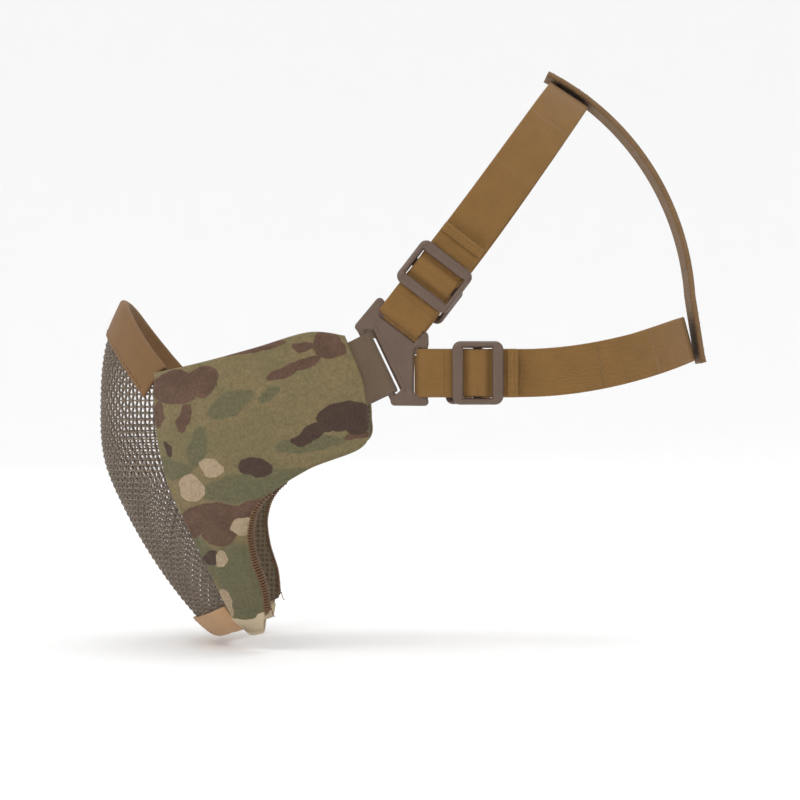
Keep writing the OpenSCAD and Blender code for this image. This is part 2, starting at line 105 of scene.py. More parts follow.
# The face shell: height, set-back of the front, share of the half width,
# and the middle of the oval section along Y.
SHELL = np.array([
    (-119.5, 49.8, 0.526, -49), (-109.5, 38.8, 0.618, -49), (-90, 23.8, 0.75, -47),
    (-66, 9.8, 0.895, -37), (-45, 1.4, 0.974, -31.4), (-20, 0, 1, -28.8),
    (2, 2.2, 1, -28.6), (19.6, 9.2, 0.974, -28.6), (26, 12.5, 0.95, -29.5)])
DRAWN_REACH = 136.8
DRAWN_TOP = 19.6
DRAWN_FOOT = -116
HALF_WIDTH = 76
REACH_SHARE = -MESH_LOW[1] / DRAWN_REACH
TOP_SHARE = MESH_HIGH[2] / DRAWN_TOP
DROP_SHARE = MESH_LOW[2] / DRAWN_FOOT

# Side-view outline of a cheek panel [Y, Z], paired from the chin upwards.
CHEEK_FRONT = np.array([
    (-78.5, -107.5), (-83.6, -97), (-89, -85), (-94.4, -74), (-98.6, -65),
    (-101.9, -58), (-105, -49), (-107.4, -38), (-109, -24), (-108.8, -10)])
CHEEK_REAR = np.array([
    (-64.8, -106), (-66, -95), (-69.8, -83), (-70.8, -71), (-65.5, -59.5),
    (-48, -47.6), (-27, -38.8), (-25, -27.5), (-27, -13), (-34, 4.2)])
CHEEK_TOP = np.array([CHEEK_FRONT[-1], (-90, -6), (-69, -0.5), (-48, 5.5), CHEEK_REAR[-1]])
CHEEK_BOTTOM = np.array([CHEEK_FRONT[0], (-72, -107.8), CHEEK_REAR[0]])
# Stretch of the rear edge, as shares, that the jaw binding covers.
JAW_EDGE = (0.02, 0.47)

# Layers outwards from the face shell.
MESH_T = 1.2
GAP = 0.1
PAD_TOP = 2.3
COVER_T = 0.9
COVER_OUT = 3.3
LINING_OUT = -1.3
LINING_T = 0.8

# How far round the wires run, in degrees, and how far they go under the panels.
WIRE_ANGLE = 62
WIRE_TUCK = 10

# The wire's top edge falls from the midline to the tape's ends; its foot rises.
ARCH_ANGLE = 43.5
CHIN_ANGLE = 54
ARCH_FALL = 28.6
ARCH_POWER = 2.2
FOOT_RISE = 0.0032

STRAP_T = 1.2
STRAP_W = STRAP_HIGH[2] - STRAP_LOW[2]
BAR_R = 1.5
FOLD_R = 2.4
LAYER_AT = 1.7
SLOT_DEPTH = 4.2
# Buckle: half thickness of its hub and ears, radius of its ear tips and hub ribs.
HUB_HALF = 0.85
EAR_HALF = 1.5
EAR_R = 1.7
RIB_R = 1.4
SLIDER_AT = 20.8
BACK_T = 2.4
CROWN_ANGLE = 57
CROWN_TAIL = 6.5
# Oval [Y, Z] that the back strap follows: its middle height and its half sizes.
HEAD_MIDDLE = 15
HEAD_DEEP = 106
HEAD_TALL = 108
NAPE = np.array((107.5, 4.5))
NAPE_LEAN = math.radians(16)
BACK_FOOT = 11
SECTION_HALF = 17


# ---- Face shell ----
def hermite(column, z):
    """A column of the shell stations at drawn height z."""
    z = np.asarray(z, float)
    x, y = SHELL[:, 0], SHELL[:, column]
    after, before = np.r_[1:len(x), len(x) - 1], np.r_[0, 0:len(x) - 1]
    slope = (y[after] - y[before]) / (x[after] - x[before])
    i = np.clip(np.searchsorted(x, z, side="right") - 1, 0, len(x) - 2)
    h = x[i + 1] - x[i]
    t = (z - x[i]) / h
    return ((2 * t**3 - 3 * t**2 + 1) * y[i] + (t**3 - 2 * t**2 + t) * h * slope[i]
            + (3 * t**2 - 2 * t**3) * y[i + 1] + (t**3 - t**2) * h * slope[i + 1])


def shell(angle, z):
    """Shell point at an angle from the midline, in degrees, and a drawn height."""
    angle, z = np.broadcast_arrays(np.asarray(angle, float), np.asarray(z, float))
    centre = hermite(3, z)
    depth = centre + DRAWN_REACH - hermite(1, z)
    turn = np.radians(angle)
    return np.stack([HALF_WIDTH * hermite(2, z) * np.sin(turn),
                     REACH_SHARE * (centre - depth * np.cos(turn)),
                     z * np.where(z < 0, DROP_SHARE, TOP_SHARE)], -1)


def unit(v):
    """Vectors scaled to length one."""
    return v / np.maximum(np.linalg.norm(v, axis=-1, keepdims=True), 1e-9)


def outward(angle, z):
    """Outward direction of the shell."""
    return unit(np.cross(shell(angle + NUDGE, z) - shell(angle - NUDGE, z),
                         shell(angle, z + NUDGE) - shell(angle, z - NUDGE)))


def skin(angle, z, d):
    """Shell point pushed out by d."""
    d = np.asarray(d, float)
    return shell(angle, z) + d[..., None] * outward(angle, z)


def side_skin(p, d):
    """Point over a side-view place [Y, Z], pushed out by d."""
    centre = hermite(3, p[..., 1])
    depth = centre + DRAWN_REACH - hermite(1, p[..., 1])
    angle = np.degrees(np.arccos(np.clip((centre - p[..., 0]) / depth, -1, 1)))
    return skin(angle, p[..., 1], np.broadcast_to(d, angle.shape))


def curve(points, t):
    """Smooth curve through evenly spaced points, t from 0 to 1."""
    n = len(points) - 1
    u = np.clip(np.asarray(t, float), 0, 1) * n
    i = np.minimum(u.astype(int), n - 1)
    f = (u - i)[..., None]
    a, b = points[np.maximum(i - 1, 0)], points[i]
    c, d = points[i + 1], points[np.minimum(i + 2, n)]
    return b + 0.5 * f * (c - a + f * (2 * a - 5 * b + 4 * c - d + f * (3 * (b - c) + d - a)))


def mix(a, b, t):
    """From a at 0 to b at 1."""
    return a + (b - a) * t


def spread(direction, path):
    """One direction for every point of a path."""
    return np.broadcast_to(direction, path.shape)


def paired(shape, first, second):
    """Two arrays of a common shape as pairs."""
    return np.stack([np.broadcast_to(first, shape), np.broadcast_to(second, shape)], -1)


def cheek(s, t):
    """Side-view place on a panel, s from front to rear and t from chin to top."""
    s, t = np.broadcast_arrays(np.asarray(s, float), np.asarray(t, float))
    s1, t1 = s[..., None], t[..., None]
    return (mix(curve(CHEEK_FRONT, t), curve(CHEEK_REAR, t), s1)
            + mix(curve(CHEEK_BOTTOM, s), curve(CHEEK_TOP, s), t1)
            - mix(mix(CHEEK_BOTTOM[0], CHEEK_BOTTOM[-1], s1),
                  mix(CHEEK_TOP[0], CHEEK_TOP[-1], s1), t1))


def arch(angle):
    """Drawn height of the wire's top edge."""
    return DRAWN_TOP - ARCH_FALL * (np.abs(angle) / ARCH_ANGLE) ** ARCH_POWER


def foot(angle):
    """Drawn height of the wire's lower edge."""
    return DRAWN_FOOT + FOOT_RISE * angle * angle


def smooth(t):
    """Soft step from 0 to 1."""
    t = np.clip(t, 0, 1)
    return t * t * (3 - 2 * t)


# ---- Mesh tools ----
def piece(name, points, faces, finish, uv=None, body=None, replaces=(), slot=None, side=1):
    """A mesh piece from points in millimetres, mirrored for the right side."""
    points = np.array(points, float).reshape(-1, 3) * MM
    if side < 0:
        points[:, 0] *= -1
        faces = [tuple(face)[::-1] for face in faces]
    mesh = bpy.data.meshes.new(name)
    mesh.from_pydata(points.tolist(), [], [tuple(int(i) for i in face) for face in faces])
    mesh.validate()
    if uv is not None:
        layer = mesh.uv_layers.new(name="cloth")
        corners = np.zeros(len(mesh.loops), int)
        mesh.loops.foreach_get("vertex_index", corners)
        layer.uv.foreach_set("vector", np.asarray(uv, np.float32).reshape(-1, 2)[corners].ravel())
    mesh.polygons.foreach_set("use_smooth", [len(face.vertices) < 5 for face in mesh.polygons])
    mesh.materials.append(finish)
    mesh.update()
    made = bpy.data.objects.new(name, mesh)
    bpy.context.scene.collection.objects.link(made)
    if replaces:
        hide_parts(*replaces)
    if body:
        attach(made, body)
    return made


def grid_faces(rows, columns, start=0, around=False):
    """Quads of a grid of points, the columns closing on themselves if around."""
    last = columns if around else columns - 1
    j = np.arange(last)
    i = np.arange(rows - 1)[:, None] * columns + start
    k = (j + 1) % columns
    return np.stack([i + j, i + columns + j, i + columns + k, i + k], -1).reshape(-1, 4).tolist()


def loft(rings):
    """Closed tube through rings (n, m, 3): its points and faces."""
    n, m = rings.shape[:2]
    faces = grid_faces(n, m, around=True)
    faces.append(tuple(range(m)))
    faces.append(tuple((n - 1) * m + k for k in range(m - 1, -1, -1)))
    return rings.reshape(-1, 3), faces


class Parts:
    """Several closed shapes gathered into one piece."""

    def __init__(self):
        self.points, self.faces, self.uv, self.count = [], [], [], 0

    def add(self, points, faces, uv=None):
        """Add one closed shape."""
        points = np.asarray(points, float).reshape(-1, 3)
        self.points.append(points)
        self.faces += [tuple(i + self.count for i in face) for face in faces]
        self.uv.append(np.zeros((len(points), 2)) if uv is None else np.asarray(uv).reshape(-1, 2))
        self.count += len(points)
        return self

    def join(self, other):
        """Add all the shapes of another gathering."""
        return self.add(np.vstack(other.points), other.faces)

    def make(self, name, finish, **words):
        """One piece of all the shapes."""
        return piece(name, np.vstack(self.points), self.faces, finish, np.vstack(self.uv), **words)


def lengths(path):
    """Distance along a path at each of its points."""
    return np.r_[0, np.cumsum(np.linalg.norm(np.diff(path, axis=0), axis=1))]


def along(path, places, *others):
    """Points of a path, and of lists that go with it, at distances from its start."""
    at = lengths(path)
    made = [np.stack([np.interp(places, at, row[:, k]) for k in range(row.shape[1])], 1)
            for row in (path, *others)]
    return made if others else made[0]


def respaced(path, step, *others):
    """A path with its points evenly spaced."""
    total = lengths(path)[-1]
    return along(path, np.linspace(0, total, max(int(total / step), 2) + 1), *others)


def tube(path, out, radius, sides=6):
    """Round wire along a path; out is a direction across it."""
    run = unit(np.gradient(path, axis=0))
    out = unit(out - (out * run).sum(1)[:, None] * run)
    across = np.cross(run, out)
    turn = np.arange(sides) * 2 * math.pi / sides
    radius = np.broadcast_to(radius, len(path))[:, None, None]
    rings = path[:, None] + radius * (np.cos(turn)[:, None] * out[:, None]
                                      + np.sin(turn)[:, None] * across[:, None])
    return loft(rings)


def band_rings(path, across, width, thick, start=0, columns=12, crown=0.0):
    """Rings of a flat band with rounded long edges, and their places on the cloth."""
    run = unit(np.gradient(path, axis=0))
    across = unit(across - (across * run).sum(1)[:, None] * run)
    out = np.cross(run, across)
    r = thick / 2
    turn = np.radians((67, 40, 0, -40, -67))
    flat = np.linspace(-1, 1, columns)
    w = np.r_[flat, np.full(5, 1.0), flat[::-1], np.full(5, -1.0)]
    round_w = np.r_[np.zeros(columns), np.cos(turn), np.zeros(columns), -np.cos(turn)]
    round_o = np.r_[np.ones(columns), np.sin(turn), -np.ones(columns), -np.sin(turn)]
    half = np.broadcast_to(np.asarray(width, float) / 2, len(path))[:, None]
    w = w[None] * (half - r) + round_w[None] * r
    o = round_o[None] * r + crown * (1 - (w / half) ** 2)
    rings = path[:, None] + w[..., None] * across[:, None] + o[..., None] * out[:, None]
    return rings, paired(w.shape, (start + lengths(path))[:, None], w) * MM


def led_in(rings, uv, reach=1.2):
    """Band rings with a slimmer one at the start that slips inside the piece before."""
    centre = rings[0].mean(0)
    run = unit(centre - rings[1].mean(0))
    across = unit(rings[0, 3] - rings[0, 1])
    out = np.cross(run, across)
    away = rings[0] - centre
    slim = 0.998 * (away @ across)[:, None] * across + 0.9 * (away @ out)[:, None] * out
    return (np.concatenate([(centre + reach * run + slim)[None], rings]),
            np.concatenate([uv[:1] - np.array((reach * MM, 0)), uv]))


def ribbon(path, across, width, thick, led=False, **words):
    """Flat band: its points, faces and cloth places."""
    rings, uv = band_rings(path, across, width, thick, **words)
    if led:
        rings, uv = led_in(rings, uv)
    return *loft(rings), uv


def stitches(path, out, length=2.2, gap=0.9, radius=0.22, sink=0.5):
    """A row of sewn stitches lying on a surface whose outward direction is out."""
    total = lengths(path)[-1]
    parts = Parts()
    count = max(int(total / (length + gap)), 1)
    pitch = total / count
    shares = np.array((0.0, 0.12, 0.5, 0.88, 1.0))
    lift = np.array((-1.0, 0.25, 0.6, 0.25, -1.0)) * radius
    thick = np.array((0.4, 0.9, 1.0, 0.9, 0.4)) * radius
    for k in range(count):
        places = (k + 0.5) * pitch + (shares - 0.5) * length * pitch / (length + gap)
        p, o = along(path, places, out)
        parts.add(*tube(p + unit(o) * (lift - radius * (sink - 0.5))[:, None], o, thick, 6))
    return parts


def ripple(points, size, height):
    """Soft uneven height over points in millimetres."""
    flat = points.reshape(-1, points.shape[-1]) / size
    flat = np.pad(flat, ((0, 0), (0, 3 - flat.shape[1])))
    heights = [noise.noise(Vector(p)) for p in flat.tolist()]
    return height * np.array(heights).reshape(points.shape[:-1])


# ---- Finishes ----
def srgb(red, green, blue):
    """A screen colour, 0 to 255, as the linear colour that shaders use."""
    shares = [c / 255 for c in (red, green, blue)]
    return tuple(s / 12.92 if s <= 0.04045 else ((s + 0.055) / 1.055) ** 2.4 for s in shares)


def shade(colour, share):
    """A colour made darker or lighter."""
    return tuple(min(c * share, 1.0) for c in tuple(colour)[:3])


class Value:
    """A shader socket that takes maths written in Python."""

    def __init__(self, finish, socket):
        self.finish, self.socket = finish, socket

    def math(self, operation, *values):
        """A Math node on these values."""
        return self.finish.node("ShaderNodeMath", {"operation": operation}, dict(enumerate(values)))

    def __add__(self, other):
        return self.math("ADD", self, other)

    def __radd__(self, other):
        return self.math("ADD", other, self)

    def __rsub__(self, other):
        return self.math("SUBTRACT", other, self)

    def __mul__(self, other):
        return self.math("MULTIPLY", self, other)

    def __abs__(self):
        return self.math("ABSOLUTE", self)

    def __gt__(self, other):
        return self.math("GREATER_THAN", self, other)

    def sine(self):
        """Its sine."""
        return self.math("SINE", self)

    def top(self, other):
        """The larger of two values."""
        return self.math("MAXIMUM", self, other)

    def step(self, low, high):
        """A soft step, 0 below low and 1 above high."""
        return self.finish.node("ShaderNodeMapRange", {"interpolation_type": "SMOOTHSTEP"},
                                {"Value": self, "From Min": low, "From Max": high})


class Finish:
    """A material, its shader and the nodes that vary it."""

    FACTOR, FIRST, SECOND, MIXED = 0, 6, 7, 2

    def __init__(self, name, roughness, specular=0.5, sheen=0.0, metallic=0.0):
        self.material = bpy.data.materials.new(name)
        self.material.use_nodes = True
        self.tree = self.material.node_tree
        self.shader = self.tree.nodes["Principled BSDF"]
        for key, value in {"Roughness": roughness, "Specular IOR Level": specular,
                           "Sheen Weight": sheen, "Metallic": metallic}.items():
            self.shader.inputs[key].default_value = value

    def node(self, kind, settings=None, values=None, out=0):
        """A node of a kind, with its settings and the values or links of its sockets."""
        made = self.tree.nodes.new(kind)
        for key, value in (settings or {}).items():
            setattr(made, key, value)
        for key, value in (values or {}).items():
            if isinstance(value, Value):
                self.tree.links.new(value.socket, made.inputs[key])
            else:
                made.inputs[key].default_value = value
        return Value(self, made.outputs[out])

    def vector(self, operation, first, second):
        """A Vector Math node."""
        return self.node("ShaderNodeVectorMath", {"operation": operation}, {0: first, 1: second})

    def cloth(self):
        """Place on the cloth, in millimetres."""
        flat = self.node("ShaderNodeUVMap", {"uv_map": "cloth"})
        return self.vector("MULTIPLY", flat, (1 / MM, 1 / MM, 0))

    def solid(self):
        """Place in the piece, in millimetres."""
        place = self.node("ShaderNodeTexCoord", out=3)
        return self.vector("MULTIPLY", place, (1 / MM, 1 / MM, 1 / MM))

    def split(self, place):
        """The first two numbers of a place."""
        parts = self.node("ShaderNodeSeparateXYZ", values={"Vector": place})
        return parts, Value(self, parts.socket.node.outputs[1])

    def speckle(self, place, size, detail=2.0, stretch=(1, 1, 1), out=0):
        """Uneven noise with spots of a size in millimetres."""
        place = self.vector("MULTIPLY", place, tuple(s / size for s in stretch))
        return self.node("ShaderNodeTexNoise", out=out,
                         values={"Vector": place, "Scale": 1, "Detail": detail})

    def mixed(self, share, first, second):
        """A colour between two, by a share."""
        ends = [c if isinstance(c, Value) else (*tuple(c)[:3], 1) for c in (first, second)]
        return self.node("ShaderNodeMix", {"data_type": "RGBA"},
                         {self.FACTOR: share, self.FIRST: ends[0], self.SECOND: ends[1]},
                         self.MIXED)

    def weave(self, place, along_pitch, across_pitch):
        """Height of a plain weave, 0 to 1."""
        u, v = self.split(place)
        a = (u * (math.pi / along_pitch)).sine()
        b = (v * (math.pi / across_pitch)).sine()
        over = (a * b) > 0
        return abs(a) * over + abs(b) * (1 - over)

    def done(self, colour, height=None, depth=0.1, roughness=None):
        """The finished material; height makes a relief depth millimetres deep."""
        self.tree.links.new(colour.socket, self.shader.inputs["Base Color"])
        if roughness is not None:
            self.tree.links.new(roughness.socket, self.shader.inputs["Roughness"])
        if height is not None:
            relief = self.node("ShaderNodeBump", values={"Height": height, "Distance": depth * MM})
            self.tree.links.new(relief.socket, self.shader.inputs["Normal"])
        return self.material


# Patches of the camouflage print in side view: middle, half sizes and tilt.
BROWN_PATCHES = ((-100, -15.5, 9.5, 6.5, 0), (-88.5, -13, 5, 6.5, -25), (-105.5, -26, 2.6, 6, 0),
                 (-96, -27, 3, 6, -12), (-69, -0.5, 13, 1.9, 8), (-40, 0, 7, 5, -20),
                 (-53, -8, 11, 2.5, 24), (-50, 0.8, 4.2, 1.6, 10), (-28.5, -34.8, 6, 1.5, 8),
                 (-83.5, -66, 13, 5.6, 6), (-82, -72.5, 7, 5.6, 0), (-70, -61.5, 7, 2.4, 12),
                 (-93, -70, 4.5, 5.5, 28))
DARK_PATCHES = ((-34, -26.5, 10, 6.4, 12), (-45.5, -33, 9, 3, 24), (-29, -30, 5.6, 4.8, 0),
                (-68, -46, 7.6, 3.3, -3), (-102.8, -40.3, 1.5, 2.9, 15), (-86, -82.5, 3.2, 2.6, 0))
SAND_PATCHES = ((-85.2, -47, 5, 3.3, -8), (-93, -55.5, 5.3, 5, 30), (-73.6, -69.7, 4, 3.8, 40),
                (-81.8, -82.5, 2.3, 2.9, -30), (-81, -100.3, 2.5, 5, 20))
GREEN_PATCHES = ((-77.3, -22, 9.5, 4.4, 32), (-90.4, -40, 4, 8.4, -10),
                 (-100.5, -47.6, 8.4, 4, -10), (-66.4, -53.4, 25, 6, 8),
                 (-46.3, -37.4, 14, 2.3, 6), (-74, -92, 10, 16, 12), (-91, -81, 5, 12, 28),
                 (-63, -18, 5, 2, 30))


def camo_cloth(colours):
    """Matt printed cloth in five colours with soft-edged blobs."""
    f = Finish("camo_cloth", 0.93, specular=0.15, sheen=0.12)
    place = f.cloth()
    drift = f.speckle(place, 11, 2.5, out=1)
    drift = f.node("ShaderNodeVectorMath", {"operation": "MULTIPLY_ADD"},
                   {0: drift, 1: (8, 7, 0), 2: (-4, -3.5, 0)})
    moved = f.vector("ADD", place, drift)

    def patches(rows, low, high):
        most = None
        for y, z, half_y, half_z, tilt in rows:
            local = f.node("ShaderNodeMapping", {"vector_type": "TEXTURE"},
                           {"Vector": moved, "Location": (y, z, 0), "Scale": (half_y, half_z, 1),
                            "Rotation": (0, 0, math.radians(tilt))})
            inside = 1 - Value(f, f.node("ShaderNodeVectorMath", {"operation": "LENGTH"},
                                         {0: local}).socket.node.outputs[1])
            most = inside if most is None else most.top(inside)
        return most.step(low, high)

    soft = f.speckle(place, 26, 3, (1, 1.7, 1)).step(0.4, 0.62)
    tone = f.mixed(soft * 0.55, colours.camo_khaki, colours.camo_olive)
    tone = f.mixed(patches(GREEN_PATCHES, -0.1, 0.12) * 0.9, tone, colours.camo_green)
    faded = f.speckle(place, 8, 3).step(0.35, 0.7)
    brown = f.mixed(faded, colours.camo_brown, shade(colours.camo_brown, 1.25))
    tone = f.mixed(patches(BROWN_PATCHES, -0.02, 0.07), tone, brown)
    tone = f.mixed(patches(DARK_PATCHES, -0.02, 0.06), tone, colours.camo_dark)
    tone = f.mixed(patches(SAND_PATCHES, -0.02, 0.06), tone, colours.camo_sand)
    threads = f.speckle(place, 0.8, 3, (1, 0.7, 1)) * 0.65 + f.speckle(place, 2.6, 3) * 0.35
    shaded = f.node("ShaderNodeHueSaturation",
                    values={"Color": tone, "Value": 0.35 + threads * 1.3})
    height = f.weave(place, 0.42, 0.42) * 0.5 + threads * 0.5
    return f.done(shaded, height, 0.12)


def woven(name, colour, pitch=0.6, roughness=0.85, uneven=0.3, relief=0.12, ribs=0.0, sheen=0.15):
    """Plain woven cloth or webbing, with lengthwise ribs if ribs is their pitch."""
    f = Finish(name, roughness, specular=0.25, sheen=sheen)
    place = f.cloth()
    threads = f.weave(place, pitch, pitch)
    lint = f.speckle(place, 0.8, 2)
    blotch = f.speckle(place, 9, 3)
    height = threads * 0.6 + lint * 0.4
    # The colour follows the weave's relief: raised threads are painted lighter and the hollows
    # between them darker (painted shade), plus random lint and blotches; uneven sets how strong
    # both are.
    light = 1 - uneven + height * uneven + blotch * uneven
    if ribs:
        across = f.split(place)[1]
        rib = abs((across * (math.pi / ribs)).sine())
        height = rib * 0.5 + threads * 0.25 + lint * 0.25
        # Rib tops are painted lighter and the grooves between the ribs darker (painted shade), with
        # random lint and blotches on top.
        light = 1 - uneven + rib * uneven * 0.35 + lint * uneven * 0.6 + blotch * uneven * 0.8
    tone = f.mixed(light.step(0.55, 1.25), shade(colour, 0.62), shade(colour, 1.3))
    return f.done(tone, height, relief)


def moulded(name, colour):
    """Semi-matt moulded plastic with faint flow marks and rubbed spots."""
    f = Finish(name, 0.4, specular=0.55)
    place = f.solid()
    flow = f.speckle(place, 6, 3, (1, 0.5, 1))
    grain = f.speckle(place, 0.35, 2)
    rubbed = f.speckle(place, 2.4, 4).step(0.52, 0.75)
    tone = f.mixed(flow, shade(colour, 0.86), shade(colour, 1.12))
    tone = f.mixed(rubbed * 0.35, tone, shade(colour, 1.35))
    return f.done(tone, grain * 0.7 + flow * 0.3, 0.05, 0.3 + grain * 0.16 + rubbed * 0.1)


def coated_wire(name, colour):
    """Powder-coated wire, thin and paler where it has rubbed."""
    f = Finish(name, 0.5, specular=0.4, metallic=0.1)
    place = f.solid()
    worn = f.speckle(place, 1.6, 3).step(0.5, 0.72)
    patch = f.speckle(place, 14, 3)
    tone = f.mixed(patch, shade(colour, 0.75), shade(colour, 1.2))
    tone = f.mixed(worn * 0.5, tone, shade(colour, 1.7))
    return f.done(tone, f.speckle(place, 0.25, 2), 0.04, 0.42 + worn * 0.2)


def knitted(name, colour):
    """Spacer knit with small round dimples."""
    f = Finish(name, 0.95, specular=0.15, sheen=0.15)
    place = f.cloth()
    cells = f.node("ShaderNodeTexVoronoi", {"feature": "F1"},
                   {"Vector": place, "Scale": 1 / 2.1, "Randomness": 0.15})
    dimple = cells.step(0.15, 0.55)
    lint = f.speckle(place, 0.6, 2)
    # The dimples are painted darker than their rims (painted shade in the hollows), with random
    # lint.
    tone = f.mixed(dimple * 0.7 + lint * 0.3, shade(colour, 0.55), shade(colour, 1.25))
    return f.done(tone, dimple * 0.8 + lint * 0.2, 0.35)


def foam(name, colour):
    """Closed-cell foam."""
    f = Finish(name, 0.9, specular=0.2)
    place = f.solid()
    cells = f.node("ShaderNodeTexVoronoi", {"feature": "F1"}, {"Vector": place, "Scale": 1 / 0.7})
    # The cell hollows are painted darker than the cell walls (painted shade).
    tone = f.mixed(cells, shade(colour, 0.7), shade(colour, 1.3))
    return f.done(tone, cells, 0.15)


def thread(name, colour, twist=0.9):
    """Twisted sewing thread."""
    f = Finish(name, 0.7, specular=0.3, sheen=0.15)
    place = f.solid()
    ply = f.speckle(place, twist, 3, (1, 2.5, 2.5))
    tone = f.mixed(ply, shade(colour, 0.55), shade(colour, 1.45))
    return f.done(tone, f.speckle(place, 0.2, 2), 0.06)


# ---- Sizes and colours that a user would change ----
def size(name, description, millimetres):
    """A length that a user can change."""
    return bpy.props.FloatProperty(name=name, description=description,
                                   default=millimetres * MM, min=0, unit="LENGTH")


def tint(name, description, *colour):
    """A colour that a user can change."""
    return bpy.props.FloatVectorProperty(name=name, description=description, subtype="COLOR",
                                         size=3, min=0, max=1, default=srgb(*colour))


class MaskSizes(bpy.types.PropertyGroup):
    """Sizes of the wire, cloth and stitching."""

    wire_pitch: size("Wire pitch", "Distance between neighbouring wires", 2.6)
    wire_width: size("Wire width", "Diameter of a wire of the front", 0.86)
    wrinkle: size("Wrinkles", "Height of the soft wrinkles in the panels", 0.5)
    puff: size("Puff", "How far the padded panels swell", 0.7)
    nose_tape: size("Nose tape", "Width of the tape on the outside of the nose edge", 14.5)
    nose_tape_inside: size("Nose tape inside", "Width of the tape inside the nose edge", 6)
    tape_thickness: size("Tape thickness", "Thickness of the binding tapes", 0.8)
    chin_strip: size("Chin strip", "How far the chin strip reaches up the wire", 8.4)
    hem: size("Chin hem", "Height of the pale hem under a panel", 6.4)
    overlock_pitch: size("Overlock pitch", "Distance between the overlock's loops", 1.2)
    thread_width: size("Thread", "Diameter of the sewing thread", 0.4)
    strap_bulge: size("Strap bulge", "Rise of a strap over its slider's middle bar", 1.75)
    tail_hem: size("Tail hem", "Length of the folded hem on a strap's tail", 5)
    rib_pitch: size("Elastic ribs", "Distance between the ribs of the elastic", 0.95)
    mould_grain: size("Buckle grain", "Finest detail of the moulded buckles", 0.32)


class MaskColours(bpy.types.PropertyGroup):
    """Colours of the cloth, elastic and plastic."""

    camo_khaki: tint("Khaki", "Ground colour of the print", 124, 109, 78)
    camo_olive: tint("Olive", "Soft green of the print", 110, 104, 73)
    camo_green: tint("Green", "Deeper green of the print", 99, 96, 71)
    camo_brown: tint("Brown", "Brown patches of the print", 92, 70, 57)
    camo_dark: tint("Dark brown", "Darkest patches of the print", 74, 58, 50)
    camo_sand: tint("Sand", "Palest patches of the print", 165, 145, 119)
    wire: tint("Wire", "Powder coat of the wire front", 116, 103, 90)
    nose: tint("Nose tape", "Smooth tape on the nose edge", 115, 85, 53)
    chin: tint("Chin strip", "Cloth strip under the chin", 174, 137, 99)
    hem: tint("Pale hem", "Hem under each panel", 181, 164, 136)
    overlock: tint("Overlock", "Thread round the jaw edge", 124, 88, 54)
    jaw_cloth: tint("Jaw binding", "Cloth under the overlock", 64, 46, 34)
    lining: tint("Lining", "Knit against the face", 96, 84, 66)
    foam: tint("Foam", "Pad inside a panel", 70, 64, 56)
    anchor: tint("Anchor webbing", "Webbing from panel to buckle", 96, 80, 64)
    plastic: tint("Plastic", "Moulded buckles and sliders", 92, 72, 58)
    elastic: tint("Elastic", "Ribbed straps", 121, 89, 47)
    back: tint("Back webbing", "Webbing down the back of the head", 115, 90, 63)


def settings():
    """The sizes, in millimetres, and the colours."""
    scene = bpy.context.scene
    sizes = {key: getattr(scene.mask_sizes, key) / MM for key in MaskSizes.__annotations__}
    return sizes, scene.mask_colours


# ---- Wire front and its tapes ----
def step_off(angle, z, run, q):
    """Shell place [angle, height] reached by going down by q, square to an edge."""
    by_angle = (shell(angle + NUDGE, z) - shell(angle - NUDGE, z)) / (2 * NUDGE)
    by_z = (shell(angle, z + NUDGE) - shell(angle, z - NUDGE)) / (2 * NUDGE)
    side = unit(np.cross(outward(angle, z), run))
    down = side * np.where(side[..., 2:] < 0, 1, -1)
    aa, zz, az = (by_angle**2).sum(-1), (by_z**2).sum(-1), (by_angle * by_z).sum(-1)
    ga, gz = (down * by_angle).sum(-1), (down * by_z).sum(-1)
    det = aa * zz - az * az
    return angle + q * (ga * zz - gz * az) / det, z + q * (gz * aa - ga * az) / det


def outline(line, thick):
    """Closed outline of a strip laid along a line [across, out], with round ends."""
    run = unit(np.gradient(line, axis=0))
    side = np.stack([-run[:, 1], run[:, 0]], 1)
    r = thick / 2
    turn = np.radians((60, 20, -20, -60))[:, None]
    head = line[-1] + r * (np.cos(turn) * run[-1] + np.sin(turn) * side[-1])
    tail = line[0] - r * (np.cos(turn) * run[0] + np.sin(turn) * side[0])
    return np.vstack([line + r * side, head, (line - r * side)[::-1], tail])


def edge_tape(edge, angles, line, thick):
    """Tape along an edge of the shell; line gives its section [down, out]."""
    section = outline(line, thick)
    run = unit(shell(angles + NUDGE, edge(angles + NUDGE))
               - shell(angles - NUDGE, edge(angles - NUDGE)))
    a, z = angles[:, None], edge(angles)[:, None]
    at, height = step_off(a, z, run[:, None], section[None, :, 0])
    rings = skin(at, height, np.broadcast_to(section[:, 1], at.shape))
    far = lengths(shell(angles, edge(angles)))[:, None]
    return rings, paired(at.shape, far, section.sum(1)) * MM


